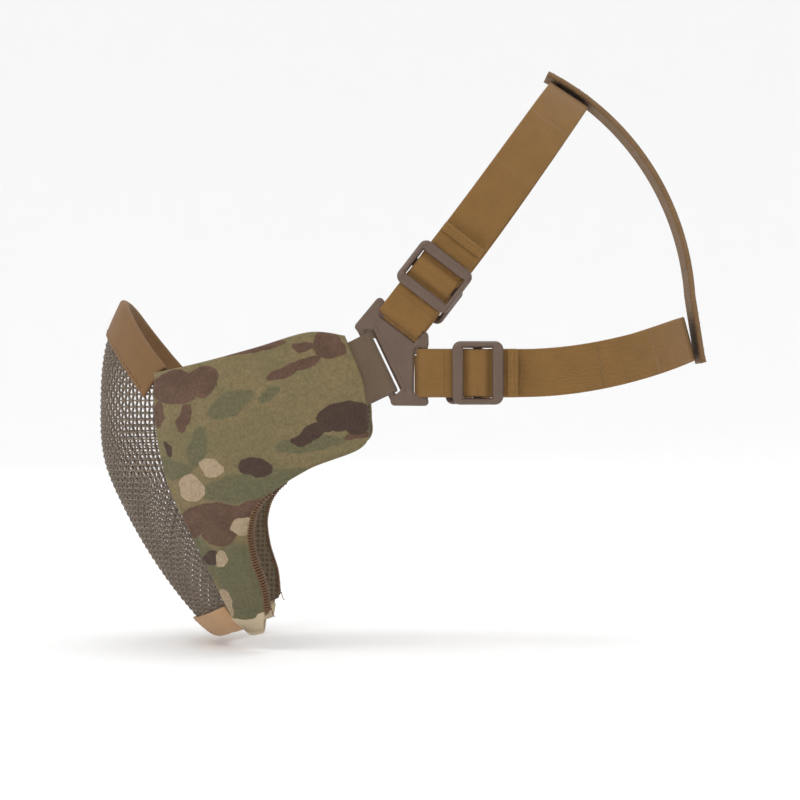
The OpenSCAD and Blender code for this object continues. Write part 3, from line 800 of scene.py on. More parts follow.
def wires(pitch, width):
    """Two sets of crimped wires woven over and under each other."""
    half = pitch / 2
    z = np.linspace(DRAWN_FOOT - 2, DRAWN_TOP, 400)
    rise = lengths(shell(0 * z, z))
    z = np.interp(np.arange(0, rise[-1], half), rise, z)
    turn = np.linspace(0, WIRE_ANGLE, 2 * WIRE_ANGLE + 1)
    level = shell(turn[None], z[:, None])
    around = np.cumsum(np.linalg.norm(np.diff(level, axis=1, prepend=level[:, :1]), axis=2), axis=1)
    reach = int(around[:, -1].max() / half)
    column = np.arange(-reach, reach + 1)
    angle = np.stack([np.interp(np.abs(column) * half, far, turn, right=180) for far in around])
    angle = np.where(angle > 90, 90, angle) * np.sign(column)
    height = np.broadcast_to(z[:, None], angle.shape)
    front = curve(CHEEK_FRONT, np.linspace(0, 1, 200))
    rear = np.interp(height, front[:, 1], front[:, 0]) + WIRE_TUCK
    kept = ((np.abs(angle) < WIRE_ANGLE) & (height < arch(angle) - 0.4)
            & (height > foot(angle) - 1) & (shell(angle, height)[..., 1] < rear))
    row = np.arange(len(z))[:, None]
    weave = np.cos((row + column) * math.pi / 2)
    out = outward(angle, height)
    parts = Parts()
    for upright, sign, on in ((True, 1, column % 2 == 0), (False, -1, row[:, 0] % 2 == 0)):
        places = shell(angle, height) + (sign * weave * width / 2 - MESH_T / 2)[..., None] * out
        for k in np.flatnonzero(on):
            line = (slice(None), k) if upright else k
            path, lean, keep = places[line], out[line], kept[line]
            cuts = np.flatnonzero(np.diff(np.r_[0, keep.astype(int), 0]))
            for first, last in zip(cuts[::2], cuts[1::2]):
                if last - first > 2:
                    parts.add(*tube(path[first:last], lean[first:last], width / 2, 6))
    return parts


class FACEMASK_OT_wire_front(bpy.types.Operator):
    """Weave the wire front"""

    bl_idname = "facemask.wire_front"
    bl_label = "Wire Front"

    def execute(self, context):
        sizes, colours = settings()
        wires(sizes["wire_pitch"], sizes["wire_width"]).make(
            "wire_front", coated_wire("coated_wire", colours.wire), body="mask",
            replaces=["wire_mesh_front"], slot="wire_mesh")
        return {"FINISHED"}


class FACEMASK_OT_tapes(bpy.types.Operator):
    """Fold the tape over the nose edge and lay the strip under the chin"""

    bl_idname = "facemask.tapes"
    bl_label = "Nose Tape and Chin Strip"

    def execute(self, context):
        sizes, colours = settings()
        thick = sizes["tape_thickness"]
        out = GAP + thick
        inside = -MESH_T - GAP - thick
        turn = np.radians(np.linspace(90, 270, 9))
        bend = (out - inside) / 2
        middle = (out + inside) / 2
        line = np.vstack([
            np.stack([np.linspace(sizes["nose_tape"], 1, 12), np.full(12, out)], 1),
            np.stack([bend * 0.8 * np.cos(turn) + 0.3, middle + bend * np.sin(turn)], 1),
            np.stack([np.linspace(1.2, sizes["nose_tape_inside"], 5), np.full(5, inside)], 1)])
        angles = np.linspace(-ARCH_ANGLE, ARCH_ANGLE, 130)
        rings, uv = edge_tape(arch, angles, line, thick)
        rings = rings + ripple(rings, 9, 0.25)[..., None] * np.array((0, -1, 0.4))
        tape = woven("nose_tape", colours.nose, 0.36, 0.7, 0.22, 0.05, sheen=0.03)
        piece("nose_tape", *loft(rings), tape, uv, "mask", ["nose_binding"], "nose_tape")

        reach = sizes["chin_strip"]
        line = np.array([(-reach, out + 0.3), (-reach / 2, out + 0.35), (0, out + 0.2),
                         (2.4, out - 0.4), (4.2, out - 1.6), (5.0, -2.4), (5.0, -4.6), (4.6, -7)])
        line = curve(line, np.linspace(0, 1, 26))
        angles = np.linspace(-CHIN_ANGLE, CHIN_ANGLE, 104)
        rings, uv = edge_tape(lambda a: foot(0.8 * a), angles, line, thick)
        rings = rings + ripple(rings, 7, 0.4)[..., None] * np.array((0, -0.8, 0.6))
        strip = woven("chin_cloth", colours.chin, 0.4, 0.85, 0.3, 0.1)
        piece("chin_strip", *loft(rings), strip, uv, "mask", ["chin_binding"], "chin_cloth")

        angles = np.linspace(-42, 42, 60)
        thread_r = sizes["thread_width"] / 2
        for name, edge, q, d, colour in (
                ("nose_seam", arch, sizes["nose_tape"] - 1.4, out + thick / 2, colours.nose),
                ("chin_seam", foot, 1.2 - reach, out + 0.3 + thick / 2, colours.chin)):
            seam, _ = edge_tape(edge, angles, np.array([(q - 0.1, d), (q + 0.1, d)]), 0.02)
            path = seam[:, 0]
            lean = outward(angles, edge(angles))
            sewn = stitches(path, lean, 1.9, 0.9, thread_r * 0.8)
            sewn.make(name, thread(name + "_thread", shade(colour, 0.8)), body="mask")
        return {"FINISHED"}


# ---- Cheek panels ----
# Rough lengths of cloth along a panel's height, its rear edge and its foot.
PANEL_HEIGHT = 118
REAR_LENGTH = 170
FOOT_LENGTH = 14
# Where the right panel's print is turned half round.
PRINT_TURN = np.array((-140.0, -108.0))


def panel_places(inset, rows, columns):
    """Places [s, t] of a panel's grid, close together at its edges, and how far in they are."""
    edge = np.array((0, 0.12, 0.4, 0.85, 1.5)) + inset
    inner = edge[-1] + 0.8

    def spaced(far, count):
        return np.r_[edge, np.linspace(inner, far - inner, count), far - edge[::-1]] / far

    t = spaced(PANEL_HEIGHT, rows)
    wide = np.linalg.norm(cheek(1, t) - cheek(0, t), axis=1)
    s = np.stack([spaced(w, columns) for w in wide])
    t = np.broadcast_to(t[:, None], s.shape)
    wide = wide[:, None]
    deep = np.minimum(np.minimum(s * wide, (1 - s) * wide),
                      np.minimum(t, 1 - t) * PANEL_HEIGHT) - inset
    return s, t, np.maximum(deep, 0), s * wide


def rolled(deep, r):
    """How far a rolled edge drops, at a depth in from the edge."""
    return r - np.sqrt(np.maximum(r * r - (r - np.minimum(deep, r)) ** 2, 0))


def pinch(s, t, most):
    """How far a panel is squeezed thinner beside its bound jaw edge."""
    from_rear = (1 - s) * np.linalg.norm(cheek(1, t) - cheek(0, t), axis=-1)
    bound = smooth((JAW_EDGE[1] + 0.06 - t) / 0.1)
    return most * smooth(1 - from_rear / 6) * bound


def rim_of(rows, columns):
    """Grid indices round the edge of a grid."""
    grid = np.arange(rows * columns).reshape(rows, columns)
    return np.r_[grid[0], grid[1:, -1], grid[-1, -2::-1], grid[-2:0:-1, 0]]


def closed_panel(outer, skirts, inner):
    """A panel from its outer grid, rings of points round its rim, and its inner grid."""
    rows, columns = outer.shape[:2]
    count = rows * columns
    rim = rim_of(rows, columns)
    faces = [tuple(face[::-1]) for face in grid_faces(rows, columns)]
    points = [outer.reshape(-1, 3)]
    before, start = rim, count
    for ring in skirts:
        points.append(ring)
        now = start + np.arange(len(rim))
        faces += join(before, now)
        before, start = now, start + len(rim)
    points.append(inner.reshape(-1, 3))
    faces += join(before, rim + start)
    faces += [tuple(face) for face in grid_faces(rows, columns, start)]
    return np.vstack(points), faces, rim


def join(first, second):
    """Quads between two rings of indices."""
    a, b = np.roll(first, -1), np.roll(second, -1)
    return [tuple(face) for face in np.stack([first, second, b, a], 1).tolist()]


def panel_uv(places, rim, skirts, side):
    """Cloth places of a closed panel; the right one takes another part of the print."""
    flat = places.reshape(-1, 2)
    flat = np.vstack([flat] + [flat[rim]] * skirts + [flat])
    return (flat if side > 0 else PRINT_TURN - flat) * MM


class FACEMASK_OT_cheek_panels(bpy.types.Operator):
    """Sew the two padded cheek panels: cover, foam and lining"""

    bl_idname = "facemask.cheek_panels"
    bl_label = "Cheek Panels"

    def execute(self, context):
        sizes, colours = settings()
        camo = camo_cloth(colours)
        lining = knitted("lining_knit", colours.lining)
        pad = foam("pad_foam", colours.foam)
        for name, side in SIDES:
            self.cover(name, side, sizes, camo)
            self.pad(name, side, pad)
            self.lining(name, side, lining)
        return {"FINISHED"}

    def cover(self, name, side, sizes, finish):
        """The printed cloth, puffed up and turned in at its rim."""
        s, t, deep, from_front = panel_places(0, 150, 96)
        flat = cheek(s, t)
        noise_at = flat + (0 if side > 0 else 300)
        swell = sizes["puff"] * smooth(deep / 16) - 0.25 * smooth(1 - np.abs(deep - 3.4) / 1.6)
        soft = ripple(noise_at, 19, sizes["wrinkle"]) + ripple(noise_at, 7, sizes["wrinkle"] * 0.45)
        soft += ripple(noise_at * np.array((1, 0.45)), 4, sizes["wrinkle"] * 0.3)
        top = COVER_OUT + swell + soft * smooth(deep / 4) - rolled(deep, 1.5) - pinch(s, t, 1.0)
        outer, inner = side_skin(flat, top), side_skin(flat, top - COVER_T)
        rim = rim_of(*s.shape)
        at, height = flat.reshape(-1, 2)[rim], top.reshape(-1)[rim]
        end = mix(0.7, -1.7, smooth((from_front.reshape(-1)[rim] - 9) / 9))
        skirts = [side_skin(at, mix(height, end, share)) for share in (0.5, 1.0)]
        middle = at.mean(0)
        tucked = at + unit(middle - at) * 0.8
        skirts.append(side_skin(tucked, end))
        points, faces, rim = closed_panel(outer, skirts, inner)
        made = piece(name + "_cheek_cloth", points, faces, finish, panel_uv(flat, rim, 3, side),
                     "mask", [name + "_cheek_cover"], "camo_cloth", side)

    def pad(self, name, side, finish):
        """The foam between cover and lining."""
        s, t, deep, _ = panel_places(2.6, 60, 40)
        flat = cheek(s, t)
        outer = side_skin(flat, PAD_TOP - 0.15 - rolled(deep, 1.2))
        inner = side_skin(flat, 0 * deep + GAP)
        points, faces, rim = closed_panel(outer, [], inner)
        made = piece(name + "_cheek_foam", points, faces, finish, panel_uv(flat, rim, 0, side),
                     "mask", [name + "_cheek_pad"], "foam_pad", side)

    def lining(self, name, side, finish):
        """The knit that lies against the face."""
        s, t, deep, _ = panel_places(0.3, 100, 64)
        flat = cheek(s, t)
        low = LINING_OUT - LINING_T - 0.6 * smooth(deep / 12) + rolled(deep, 1.0)
        low += ripple(flat, 12, 0.35) * smooth(deep / 5) + pinch(s, t, 0.8)
        outer = side_skin(flat, np.maximum(low + LINING_T, LINING_OUT - 0.2))
        points, faces, rim = closed_panel(outer, [], side_skin(flat, low))
        made = piece(name + "_cheek_knit", points, faces, finish, panel_uv(flat, rim, 0, side),
                     "mask", [name + "_cheek_lining"], "lining_cloth", side)


class FACEMASK_OT_panel_edges(bpy.types.Operator):
    """Bind and overlock the jaw edges and fold the pale hems under the panels"""

    bl_idname = "facemask.panel_edges"
    bl_label = "Panel Edges"

    def execute(self, context):
        sizes, colours = settings()
        finishes = {
            "cloth": woven("jaw_cloth", colours.jaw_cloth, 0.5, 0.9, 0.35, 0.12),
            "loops": thread("overlock_thread", colours.overlock),
            "hem": woven("hem_cloth", colours.hem, 0.42, 0.9, 0.3, 0.12),
            "zigzag": thread("hem_thread", shade(colours.hem, 0.85))}
        for name, side in SIDES:
            self.jaw_edge(name, side, sizes, finishes)
            self.chin_hem(name, side, sizes, finishes)
        return {"FINISHED"}

    def jaw_edge(self, name, side, sizes, finishes):
        """The bound rear edge below the ear and its overlock loops."""
        middle, half_t, half_out, inset = 0.5, 2.1, 1.3, 0.6

        def edge(t, out, d):
            e = 0.005
            p = curve(CHEEK_REAR, t)
            run = curve(CHEEK_REAR, t + e) - curve(CHEEK_REAR, t - e)
            away = unit(np.stack([run[..., 1], -run[..., 0]], -1))
            return side_skin(p + away * out[..., None], d)

        t = np.linspace(*JAW_EDGE, 120)[:, None]
        turn = np.radians(np.linspace(95, -95, 13))
        out = np.broadcast_to(half_out * np.cos(turn) - inset, (len(t), 13))
        d = np.broadcast_to(middle + half_t * np.sin(turn), (len(t), 13))
        rings = edge(np.broadcast_to(t, out.shape), out, d)
        uv = paired(out.shape, t * REAR_LENGTH, d) * MM
        piece(name + "_jaw_binding", *loft(rings), finishes["cloth"], uv, "mask",
              [name + "_edge_binding"], "overlock_thread", side)

        path = edge(t[:, 0], 0 * t[:, 0], 0 * t[:, 0] + middle)
        loops = int(lengths(path)[-1] / sizes["overlock_pitch"])
        parts = Parts()
        turn = np.radians(np.linspace(112, -112, 15))
        step = (JAW_EDGE[1] - JAW_EDGE[0]) / loops
        r = sizes["thread_width"] / 2
        for k in range(loops):
            uneven = 0.12 * noise.noise(Vector((k * 0.7, 0, side)))
            t = JAW_EDGE[0] + step * (k + 0.5 + uneven + 0.5 * np.sin(turn))
            out = (half_out + r * 0.9) * np.cos(turn) - inset
            d = middle + (half_t + r * 0.9) * np.sin(turn)
            loop = edge(t, out, d)
            heart = edge(t, 0 * out - inset, 0 * d + middle)
            parts.add(*tube(loop, loop - heart, r * 1.25, 6))
        end = edge(np.linspace(JAW_EDGE[0], JAW_EDGE[0] + 0.002, 2), np.array((1.4, 1.6)),
                   np.array((middle, middle)))[0]
        loose = curve(end + np.array([(0, -0.2, 0.8), (0.3, 0.1, -0.8), (0.2, 0.5, -2.0),
                                      (-0.1, 1.1, -2.6)]), np.linspace(0, 1, 12))
        parts.add(*tube(loose, spread(SIDEWAYS, loose), r, 6))
        parts.make(name + "_overlock", finishes["loops"], body="mask", slot="overlock_thread",
                   side=side)

    def chin_hem(self, name, side, sizes, finishes):
        """The pale hem folded under a panel's foot, with its zigzag."""
        low = sizes["hem"]

        def hem_place(s, q):
            """Side-view place at a share s along the hem and a height q over the panel's foot."""
            below = np.clip(-q / low, 0, 1)
            s = s + (0.62 + 0.42 * (s - 0.5) - s) * below
            p, up = cheek(s, 0 * s), cheek(s, 0 * s + 0.05)
            return p + unit(up - p) * q[..., None]

        s = np.linspace(0.02, 0.9, 40)
        out = COVER_OUT - 0.4
        line = np.array([(1.6, out - 0.5), (0.2, out + 0.1), (-low * 0.4, out),
                         (-low * 0.85, out - 0.4), (-low, out - 1.4), (-low * 0.9, out - 2.6),
                         (-low * 0.4, out - 3.2)])
        section = outline(curve(line, np.linspace(0, 1, 24)), 0.7)
        q = np.broadcast_to(section[:, 0], (len(s), len(section)))
        flat = hem_place(np.broadcast_to(s[:, None], q.shape), q)
        d = np.broadcast_to(section[:, 1], q.shape) + ripple(flat, 4, 0.5)
        uv = paired(d.shape, s[:, None] * FOOT_LENGTH, section.sum(1)) * MM
        piece(name + "_hem_cloth", *loft(side_skin(flat, d)), finishes["hem"], uv, "mask",
              [name + "_chin_hem"], "pale_hem", side)
        turns = 15
        s = np.linspace(0.1, 0.84, turns)
        q = np.where(np.arange(turns) % 2, -low * 0.2, -low * 0.75)
        flat = hem_place(s, q)
        path = side_skin(flat, out + 0.36 + ripple(flat, 4, 0.5))
        lean = unit(path - side_skin(flat, 0 * q))
        path, lean = respaced(path, 0.5, lean)
        parts = Parts().add(*tube(path, lean, sizes["thread_width"] * 0.36, 6))
        parts.make(name + "_hem_zigzag", finishes["zigzag"], body="mask", slot="pale_hem",
                   side=side)


# ---- Webbing, buckles and straps ----
class StrapPlace:
    """The plane of a strap: x out of the buckle, u along the strap, w across it."""

    def __init__(self, bar, run):
        self.bar, self.run = np.asarray(bar, float), np.asarray(run, float)
        self.across = np.array((0, -self.run[2], self.run[1]))

    def at(self, x, u, w=0):
        """Points in the object's own frame, from places in the strap's."""
        x, u, w = np.broadcast_arrays(x, u, w)
        return (self.bar + x[..., None] * np.array(SIDEWAYS) + u[..., None] * self.run
                + w[..., None] * self.across)

    def wide(self, path):
        """The across direction at each point of a path."""
        return spread(self.across, path)


FRONT_BAR = joint_mm("left_buckle_hinge")
FRONT_RUN = -np.array(JOINTS["left_buckle_hinge"]["axis"])
ANCHOR = StrapPlace(FRONT_BAR, (0, -FRONT_RUN[2], FRONT_RUN[1]))
STRAPS = {level: StrapPlace(joint_mm(f"left_{level}_strap_hinge"),
                            JOINTS[f"left_{level}_slider_slide"]["axis"])
          for level in ("upper", "lower")}
ANCHOR_W = 25
# Along a strap from its bar: its end, its folded tail, and where its top layer
# starts; the tail's flat run starts a little before the fold.
STRAP_LENGTH = {"upper": 42.0, "lower": 38.0}
TAIL = {"upper": 36.0, "lower": 31.6}
RUN_START = 8.0
TAIL_START = 2.0


def fold_line(length, top_end, gap=LAYER_AT, r=FOLD_R, neck=6):
    """Centre line [x, u] of a strap folded round a bar, from the under layer's end."""
    turn = np.radians(np.linspace(180, 360, 17))
    under = np.linspace(length, neck, max(int(length - neck), 3))
    over = np.linspace(neck, top_end, max(int(top_end - neck), 3))
    ease = np.linspace(0.75, 0.25, 3) * neck
    lean = mix(r, gap, smooth(ease / neck))
    return np.vstack([
        np.stack([np.full(len(under), -gap), under], 1), np.stack([-lean, ease], 1),
        np.stack([r * np.cos(turn), r * np.sin(turn)], 1), np.stack([lean, ease], 1)[::-1],
        np.stack([np.full(len(over), gap), over], 1)])


class FACEMASK_OT_anchors(bpy.types.Operator):
    """Loop the anchor webbing round the front bar of each buckle"""

    bl_idname = "facemask.anchors"
    bl_label = "Anchor Webbing"

    def execute(self, context):
        _, colours = settings()
        finish = woven("anchor_webbing", colours.anchor, 0.75, 0.85, 0.3, 0.14)
        reach = 11.0
        line = respaced(fold_line(reach, reach, 0.62, FOLD_R, 3.6), 0.45)
        line[:, 0] -= 1.3 * smooth((line[:, 1] - 2.4) / 4)
        path = ANCHOR.at(line[:, 0], line[:, 1])
        points, faces, uv = ribbon(path, ANCHOR.wide(path), ANCHOR_W, STRAP_T - 0.1, columns=20)
        for name, side in SIDES:
            piece(name + "_anchor_webbing", points, faces, finish, uv, "mask",
                  [name + "_strap_anchor"], "webbing", side)
        return {"FINISHED"}


def squircle(count, power=2.6):
    """Section of a softly squared bar, half sizes one."""
    turn = np.arange(count) * 2 * math.pi / count
    c, s = np.cos(turn), np.sin(turn)
    return np.sign(c) * np.abs(c) ** (2 / power), np.sign(s) * np.abs(s) ** (2 / power)


def moulding(name, parts, grain):
    """One smooth moulded mesh from several overlapping closed shapes, in millimetres."""
    rough = bpy.data.meshes.new(name)
    rough.from_pydata((np.vstack(parts.points) * MM).tolist(), [], parts.faces)
    made = bpy.data.objects.new(name, rough)
    bpy.context.scene.collection.objects.link(made)
    melt = made.modifiers.new("melt", "REMESH")
    melt.mode = "VOXEL"
    melt.voxel_size = grain * MM
    soften = made.modifiers.new("soften", "SMOOTH")
    soften.factor, soften.iterations = 0.5, 7
    ready = made.evaluated_get(bpy.context.evaluated_depsgraph_get())
    points = np.zeros(len(ready.data.vertices) * 3)
    ready.data.vertices.foreach_get("co", points)
    faces = [tuple(face.vertices) for face in ready.data.polygons]
    bpy.data.objects.remove(made)
    bpy.data.meshes.remove(rough)
    if not faces:
        raise RuntimeError(name + " melted away: its grain is too coarse")
    return points.reshape(-1, 3) / MM, faces


def slab(corners, low, high):
    """Upright block over the hull of corners [Y, Z], from x low to high."""
    made = bmesh.new()
    for y, z in corners:
        for x in (low, high):
            made.verts.new((x, y, z))
    bmesh.ops.convex_hull(made, input=made.verts)
    bmesh.ops.delete(made, geom=[v for v in made.verts if not v.link_faces], context="VERTS")
    made.verts.index_update()
    points = np.array([v.co for v in made.verts])
    faces = [tuple(v.index for v in face.verts) for face in made.faces]
    made.free()
    return points, faces


class FACEMASK_OT_buckles(bpy.types.Operator):
    """Mould the two Y-shaped buckles"""

    bl_idname = "facemask.buckles"
    bl_label = "Buckles"

    def execute(self, context):
        sizes, colours = settings()
        finish = moulded("moulded_plastic", colours.plastic)
        points, faces = self.shape(sizes["mould_grain"])
        for name, side in SIDES:
            piece(name + "_buckle_body", points, faces, finish, None, name + "_buckle",
                  [name + "_buckle"], "acetal", side)
        return {"FINISHED"}

    def shape(self, grain):
        """Points and faces of the left buckle."""
        x = FRONT_BAR[0]
        bars = []
        for bar, away, half, ear in (
                (FRONT_BAR, ANCHOR.run, ANCHOR_W / 2, 3.6),
                (STRAPS["upper"].bar, STRAPS["upper"].run, STRAP_W / 2, 1.5),
                (STRAPS["lower"].bar, STRAPS["lower"].run, STRAP_W / 2, 1.8)):
            centre, out = bar[1:], away[1:]
            bars.append((centre, out, np.array((-out[1], out[0])), half, ear))
        turn = np.radians(np.arange(0, 360, 20))
        disc = np.stack([np.cos(turn), np.sin(turn)], 1)

        def place(bar, end, out, past):
            centre, away, run, half, _ = bar
            return centre + away * out + run * end * (half + past)

        front, upper, lower = bars
        parts = Parts()
        hub = [place(bar, end, -SLOT_DEPTH, 0.4) for bar in bars for end in (-1, 1)]
        parts.add(*slab(hub, x - HUB_HALF, x + HUB_HALF))
        for first, end_a, second, end_b in ((front, -1, upper, 1), (upper, -1, lower, 1),
                                            (lower, -1, front, 1)):
            ends = ((first, end_a), (second, end_b))
            corners = [place(bar, end, -SLOT_DEPTH, 0.5) for bar, end in ends]
            for bar, end in ends:
                corners += list(place(bar, end, 0.1, bar[4]) + EAR_R * disc)
            parts.add(*slab(corners, x - EAR_HALF, x + EAR_HALF))
        for bar in bars:
            for out, past, r in ((0, bar[4] * 0.6, BAR_R), (-SLOT_DEPTH - 1.1, 0.6, RIB_R)):
                ends = [place(bar, end, out, past) for end in (-1, 1)]
                path = np.array([(x, *mix(ends[0], ends[1], share))
                                 for share in np.linspace(0, 1, 24)])
                parts.add(*tube(path, spread(SIDEWAYS, path), r, 24))
        points, faces = moulding("buckle_blank", parts, grain)
        heart = np.mean(hub, 0)
        near = np.linalg.norm((points[:, 1:] - heart) / np.array((7.0, 9.0)), axis=1)
        dish = 1 - 0.3 * smooth(1 - near)
        points[:, 0] = x + (points[:, 0] - x) * dish
        return points, faces


class FACEMASK_OT_sliders(bpy.types.Operator):
    """Mould the four strap sliders"""

    bl_idname = "facemask.sliders"
    bl_label = "Sliders"

    def execute(self, context):
        _, colours = settings()
        finish = moulded("slider_plastic", colours.plastic)
        frame_points, frame_faces = self.frame()
        for name, side in SIDES:
            for level, strap in STRAPS.items():
                node = f"{name}_{level}_slider"
                points = strap.at(frame_points[:, 0], frame_points[:, 1] + SLIDER_AT,
                                  frame_points[:, 2])
                piece(node + "_frame", points, frame_faces, finish, None, node, [node],
                      "acetal", side)
        return {"FINISHED"}

    def frame(self):
        """Places [x, u, w] of the rounded frame and its middle bar."""
        length = SLIDER_HIGH[1] - SLIDER_LOW[1]
        wide = SLIDER_HIGH[2] - SLIDER_LOW[2]
        bar, rail, corner = 4.4, 2.7, 2.3
        half_u, half_w = (length - bar) / 2, (wide - rail) / 2
        path, out = [], []
        centres = np.array(((1, 1), (-1, 1), (-1, -1), (1, -1))) * (half_u - corner,
                                                                     half_w - corner)
        bends, straights = 9, 6
        for k in range(4):
            turns = 90 * k + 90 * np.arange(bends) / (bends - 1)
            shares = np.r_[np.zeros(bends), np.arange(1, straights) / straights]
            turns = np.radians(np.r_[turns, np.full(straights - 1, 90 * (k + 1))])
            lean = np.stack([np.cos(turns), np.sin(turns)], 1)
            path.append(mix(centres[k], centres[(k + 1) % 4], shares[:, None]) + corner * lean)
            out.append(lean)
        path, out = np.vstack(path), np.vstack(out)
        share = smooth(np.abs(out[:, 0]))
        round_q, round_x = squircle(24, 2.1)
        half_q = mix(rail / 2, bar / 2, share)[:, None]
        low = mix(-0.8, 2.48, share)[:, None]
        high = mix(4.35, 4.6, share)[:, None]
        flat = path[:, None] + out[:, None] * (half_q * round_q)[..., None]
        x = (low + high) / 2 + (high - low) / 2 * round_x
        rings = np.concatenate([x[..., None], flat], -1)
        n, m = rings.shape[:2]
        faces = grid_faces(n + 1, m, around=True)
        faces = [tuple(i % (n * m) for i in face) for face in faces]
        parts = Parts().add(rings, faces)
        round_q, round_x = squircle(16, 2.3)
        w = np.linspace(-half_w, half_w, 13)
        middle = np.stack([np.broadcast_to(0.8 * round_x, (13, 16)),
                           np.broadcast_to(1.8 * round_q, (13, 16)),
                           np.broadcast_to(w[:, None], (13, 16))], -1)
        parts.add(*loft(middle))
        return np.vstack(parts.points), parts.faces


def elastic(colours, sizes):
    """The ribbed elastic of the straps and bands."""
    known = bpy.data.materials.get("ribbed_elastic")
    return known or woven("ribbed_elastic", colours.elastic, 0.7, 0.78, 0.3, 0.08,
                          ribs=sizes["rib_pitch"], sheen=0.04)


class FACEMASK_OT_strap_ends(bpy.types.Operator):
    """Fold the elastic round the buckle bars and thread it through the sliders"""

    bl_idname = "facemask.strap_ends"
    bl_label = "Strap Ends"

    def execute(self, context):
        sizes, colours = settings()
        finish = elastic(colours, sizes)
        sewn = thread("hem_stitching", shade(colours.elastic, 0.8))
        for level, strap in STRAPS.items():
            for name, side in SIDES:
                self.strap_end(name, side, level, strap, sizes, finish)
                self.tail(name, side, level, strap, sizes, finish, sewn)
        return {"FINISHED"}

    def strap_end(self, name, side, level, strap, sizes, finish):
        """The fold round the buckle bar and the top layer through the slider."""
        body = f"{name}_{level}_strap"
        slider = f"{name}_{level}_slider"
        fold = respaced(fold_line(STRAP_LENGTH[level], RUN_START), 0.5)
        path = strap.at(fold[:, 0], fold[:, 1])
        points, faces, uv = ribbon(path, strap.wide(path), STRAP_W, STRAP_T)
        piece(f"{body}_fold", points, faces, finish, uv, body, [f"{body}_end"], "elastic", side)

        u = np.linspace(RUN_START, TAIL[level] - TAIL_START, 90)
        from_bar = np.abs(u - SLIDER_AT)
        rise = smooth((4.9 - from_bar) / 2.9)
        hollow = smooth(1 - np.abs(from_bar - 8) / 3.6)
        x = LAYER_AT + sizes["strap_bulge"] * rise - 0.12 * hollow
        path = strap.at(x, u)
        narrow = STRAP_W - 0.5 * rise
        rings, uv = band_rings(path, strap.wide(path), narrow, STRAP_T, start=lengths(fold)[-1])
        rings[..., 0] += 0.35 * rise[:, None] * (1 - (uv[..., 1] / MM * 2 / STRAP_W) ** 2)
        middle = int(np.argmin(from_bar))
        for part, rows, bodies in (("run_in", slice(0, middle + 1), (body, slider)),
                                   ("run_out", slice(middle, None), (slider, body))):
            led, led_uv = led_in(rings[rows], uv[rows])
            made = piece(f"{body}_{part}", *loft(led), finish, led_uv, slot="elastic", side=side)
            mirror = np.array((side, 1, 1)) * MM
            ends = [strap.at(LAYER_AT, v) * mirror for v in (u[rows][0], u[rows][-1])]
            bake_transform(made)

    def tail(self, name, side, level, strap, sizes, finish, sewn):
        """The hem at the end of the top layer, and its stitches."""
        body = f"{name}_{level}_strap"
        start, length = TAIL[level], sizes["tail_hem"]
        r = 0.68
        turn = np.radians(np.linspace(-90, 90, 7))
        far = start + length - r - STRAP_T / 2
        line = np.vstack([[(LAYER_AT, start - TAIL_START), (LAYER_AT, start), (LAYER_AT, far - 1)],
                          np.stack([LAYER_AT + r + r * np.sin(turn), far + r * np.cos(turn)], 1),
                          [(LAYER_AT + 2 * r, far - 1), (LAYER_AT + 2 * r, start + 0.9)]])
        path = strap.at(line[:, 0], line[:, 1])
        path = respaced(path, 0.4)
        points, faces, uv = ribbon(path, strap.wide(path), STRAP_W, STRAP_T, led=True)
        piece(f"{body}_tail", points, faces, finish, uv, body,
              [f"{name}_{level}_tail_hem"], "elastic", side)
        w = np.linspace(-STRAP_W / 2 + 1, STRAP_W / 2 - 1, 30)
        parts = Parts()
        top = LAYER_AT + 2 * r + STRAP_T / 2
        for u in (start + 1.7, start + length - 1.5):
            row = strap.at(top, u + 0 * w, w)
            parts.join(stitches(row, spread(SIDEWAYS, row), 1.7, 0.7,
                                sizes["thread_width"] * 0.3))
        parts.make(f"{body}_hem_stitches", sewn, body=body, slot="elastic", side=side)


def bezier(points, t):
    """Point of a cubic curve."""
    t = np.asarray(t, float)[:, None]
    a, b, c, d = (np.asarray(p, float) for p in points)
    return (1 - t) ** 3 * a + 3 * (1 - t) ** 2 * t * b + 3 * (1 - t) * t * t * c + t**3 * d


def on_head(degrees):
    """Place [Y, Z] on the back strap's inner curve."""
    turn = np.radians(degrees)
    return np.stack([HEAD_DEEP * np.cos(turn), HEAD_MIDDLE + HEAD_TALL * np.sin(turn)], -1)


def band_path(level):
    """A band's middle line from its strap to the middle of the head, and its across direction."""
    strap = STRAPS[level]
    start = strap.at(-LAYER_AT, STRAP_LENGTH[level])
    if level == "upper":
        end = (0, *on_head(CROWN_ANGLE))
        handle, reach, rise = 28, 43, 0
        turn = math.radians(CROWN_ANGLE)
        wide = unit(np.array((0, -HEAD_DEEP * math.sin(turn), HEAD_TALL * math.cos(turn))))
    else:
        end = (0, *NAPE)
        handle, reach, rise = 38, 32, 1
        wide = np.array((0, -math.sin(NAPE_LEAN), math.cos(NAPE_LEAN)))
    corners = (start, start + handle * strap.run, (reach, end[1], end[2] + rise), end)
    t = np.linspace(0, 1, 240)
    return bezier(corners, t), mix(strap.across, wide, t[:, None])


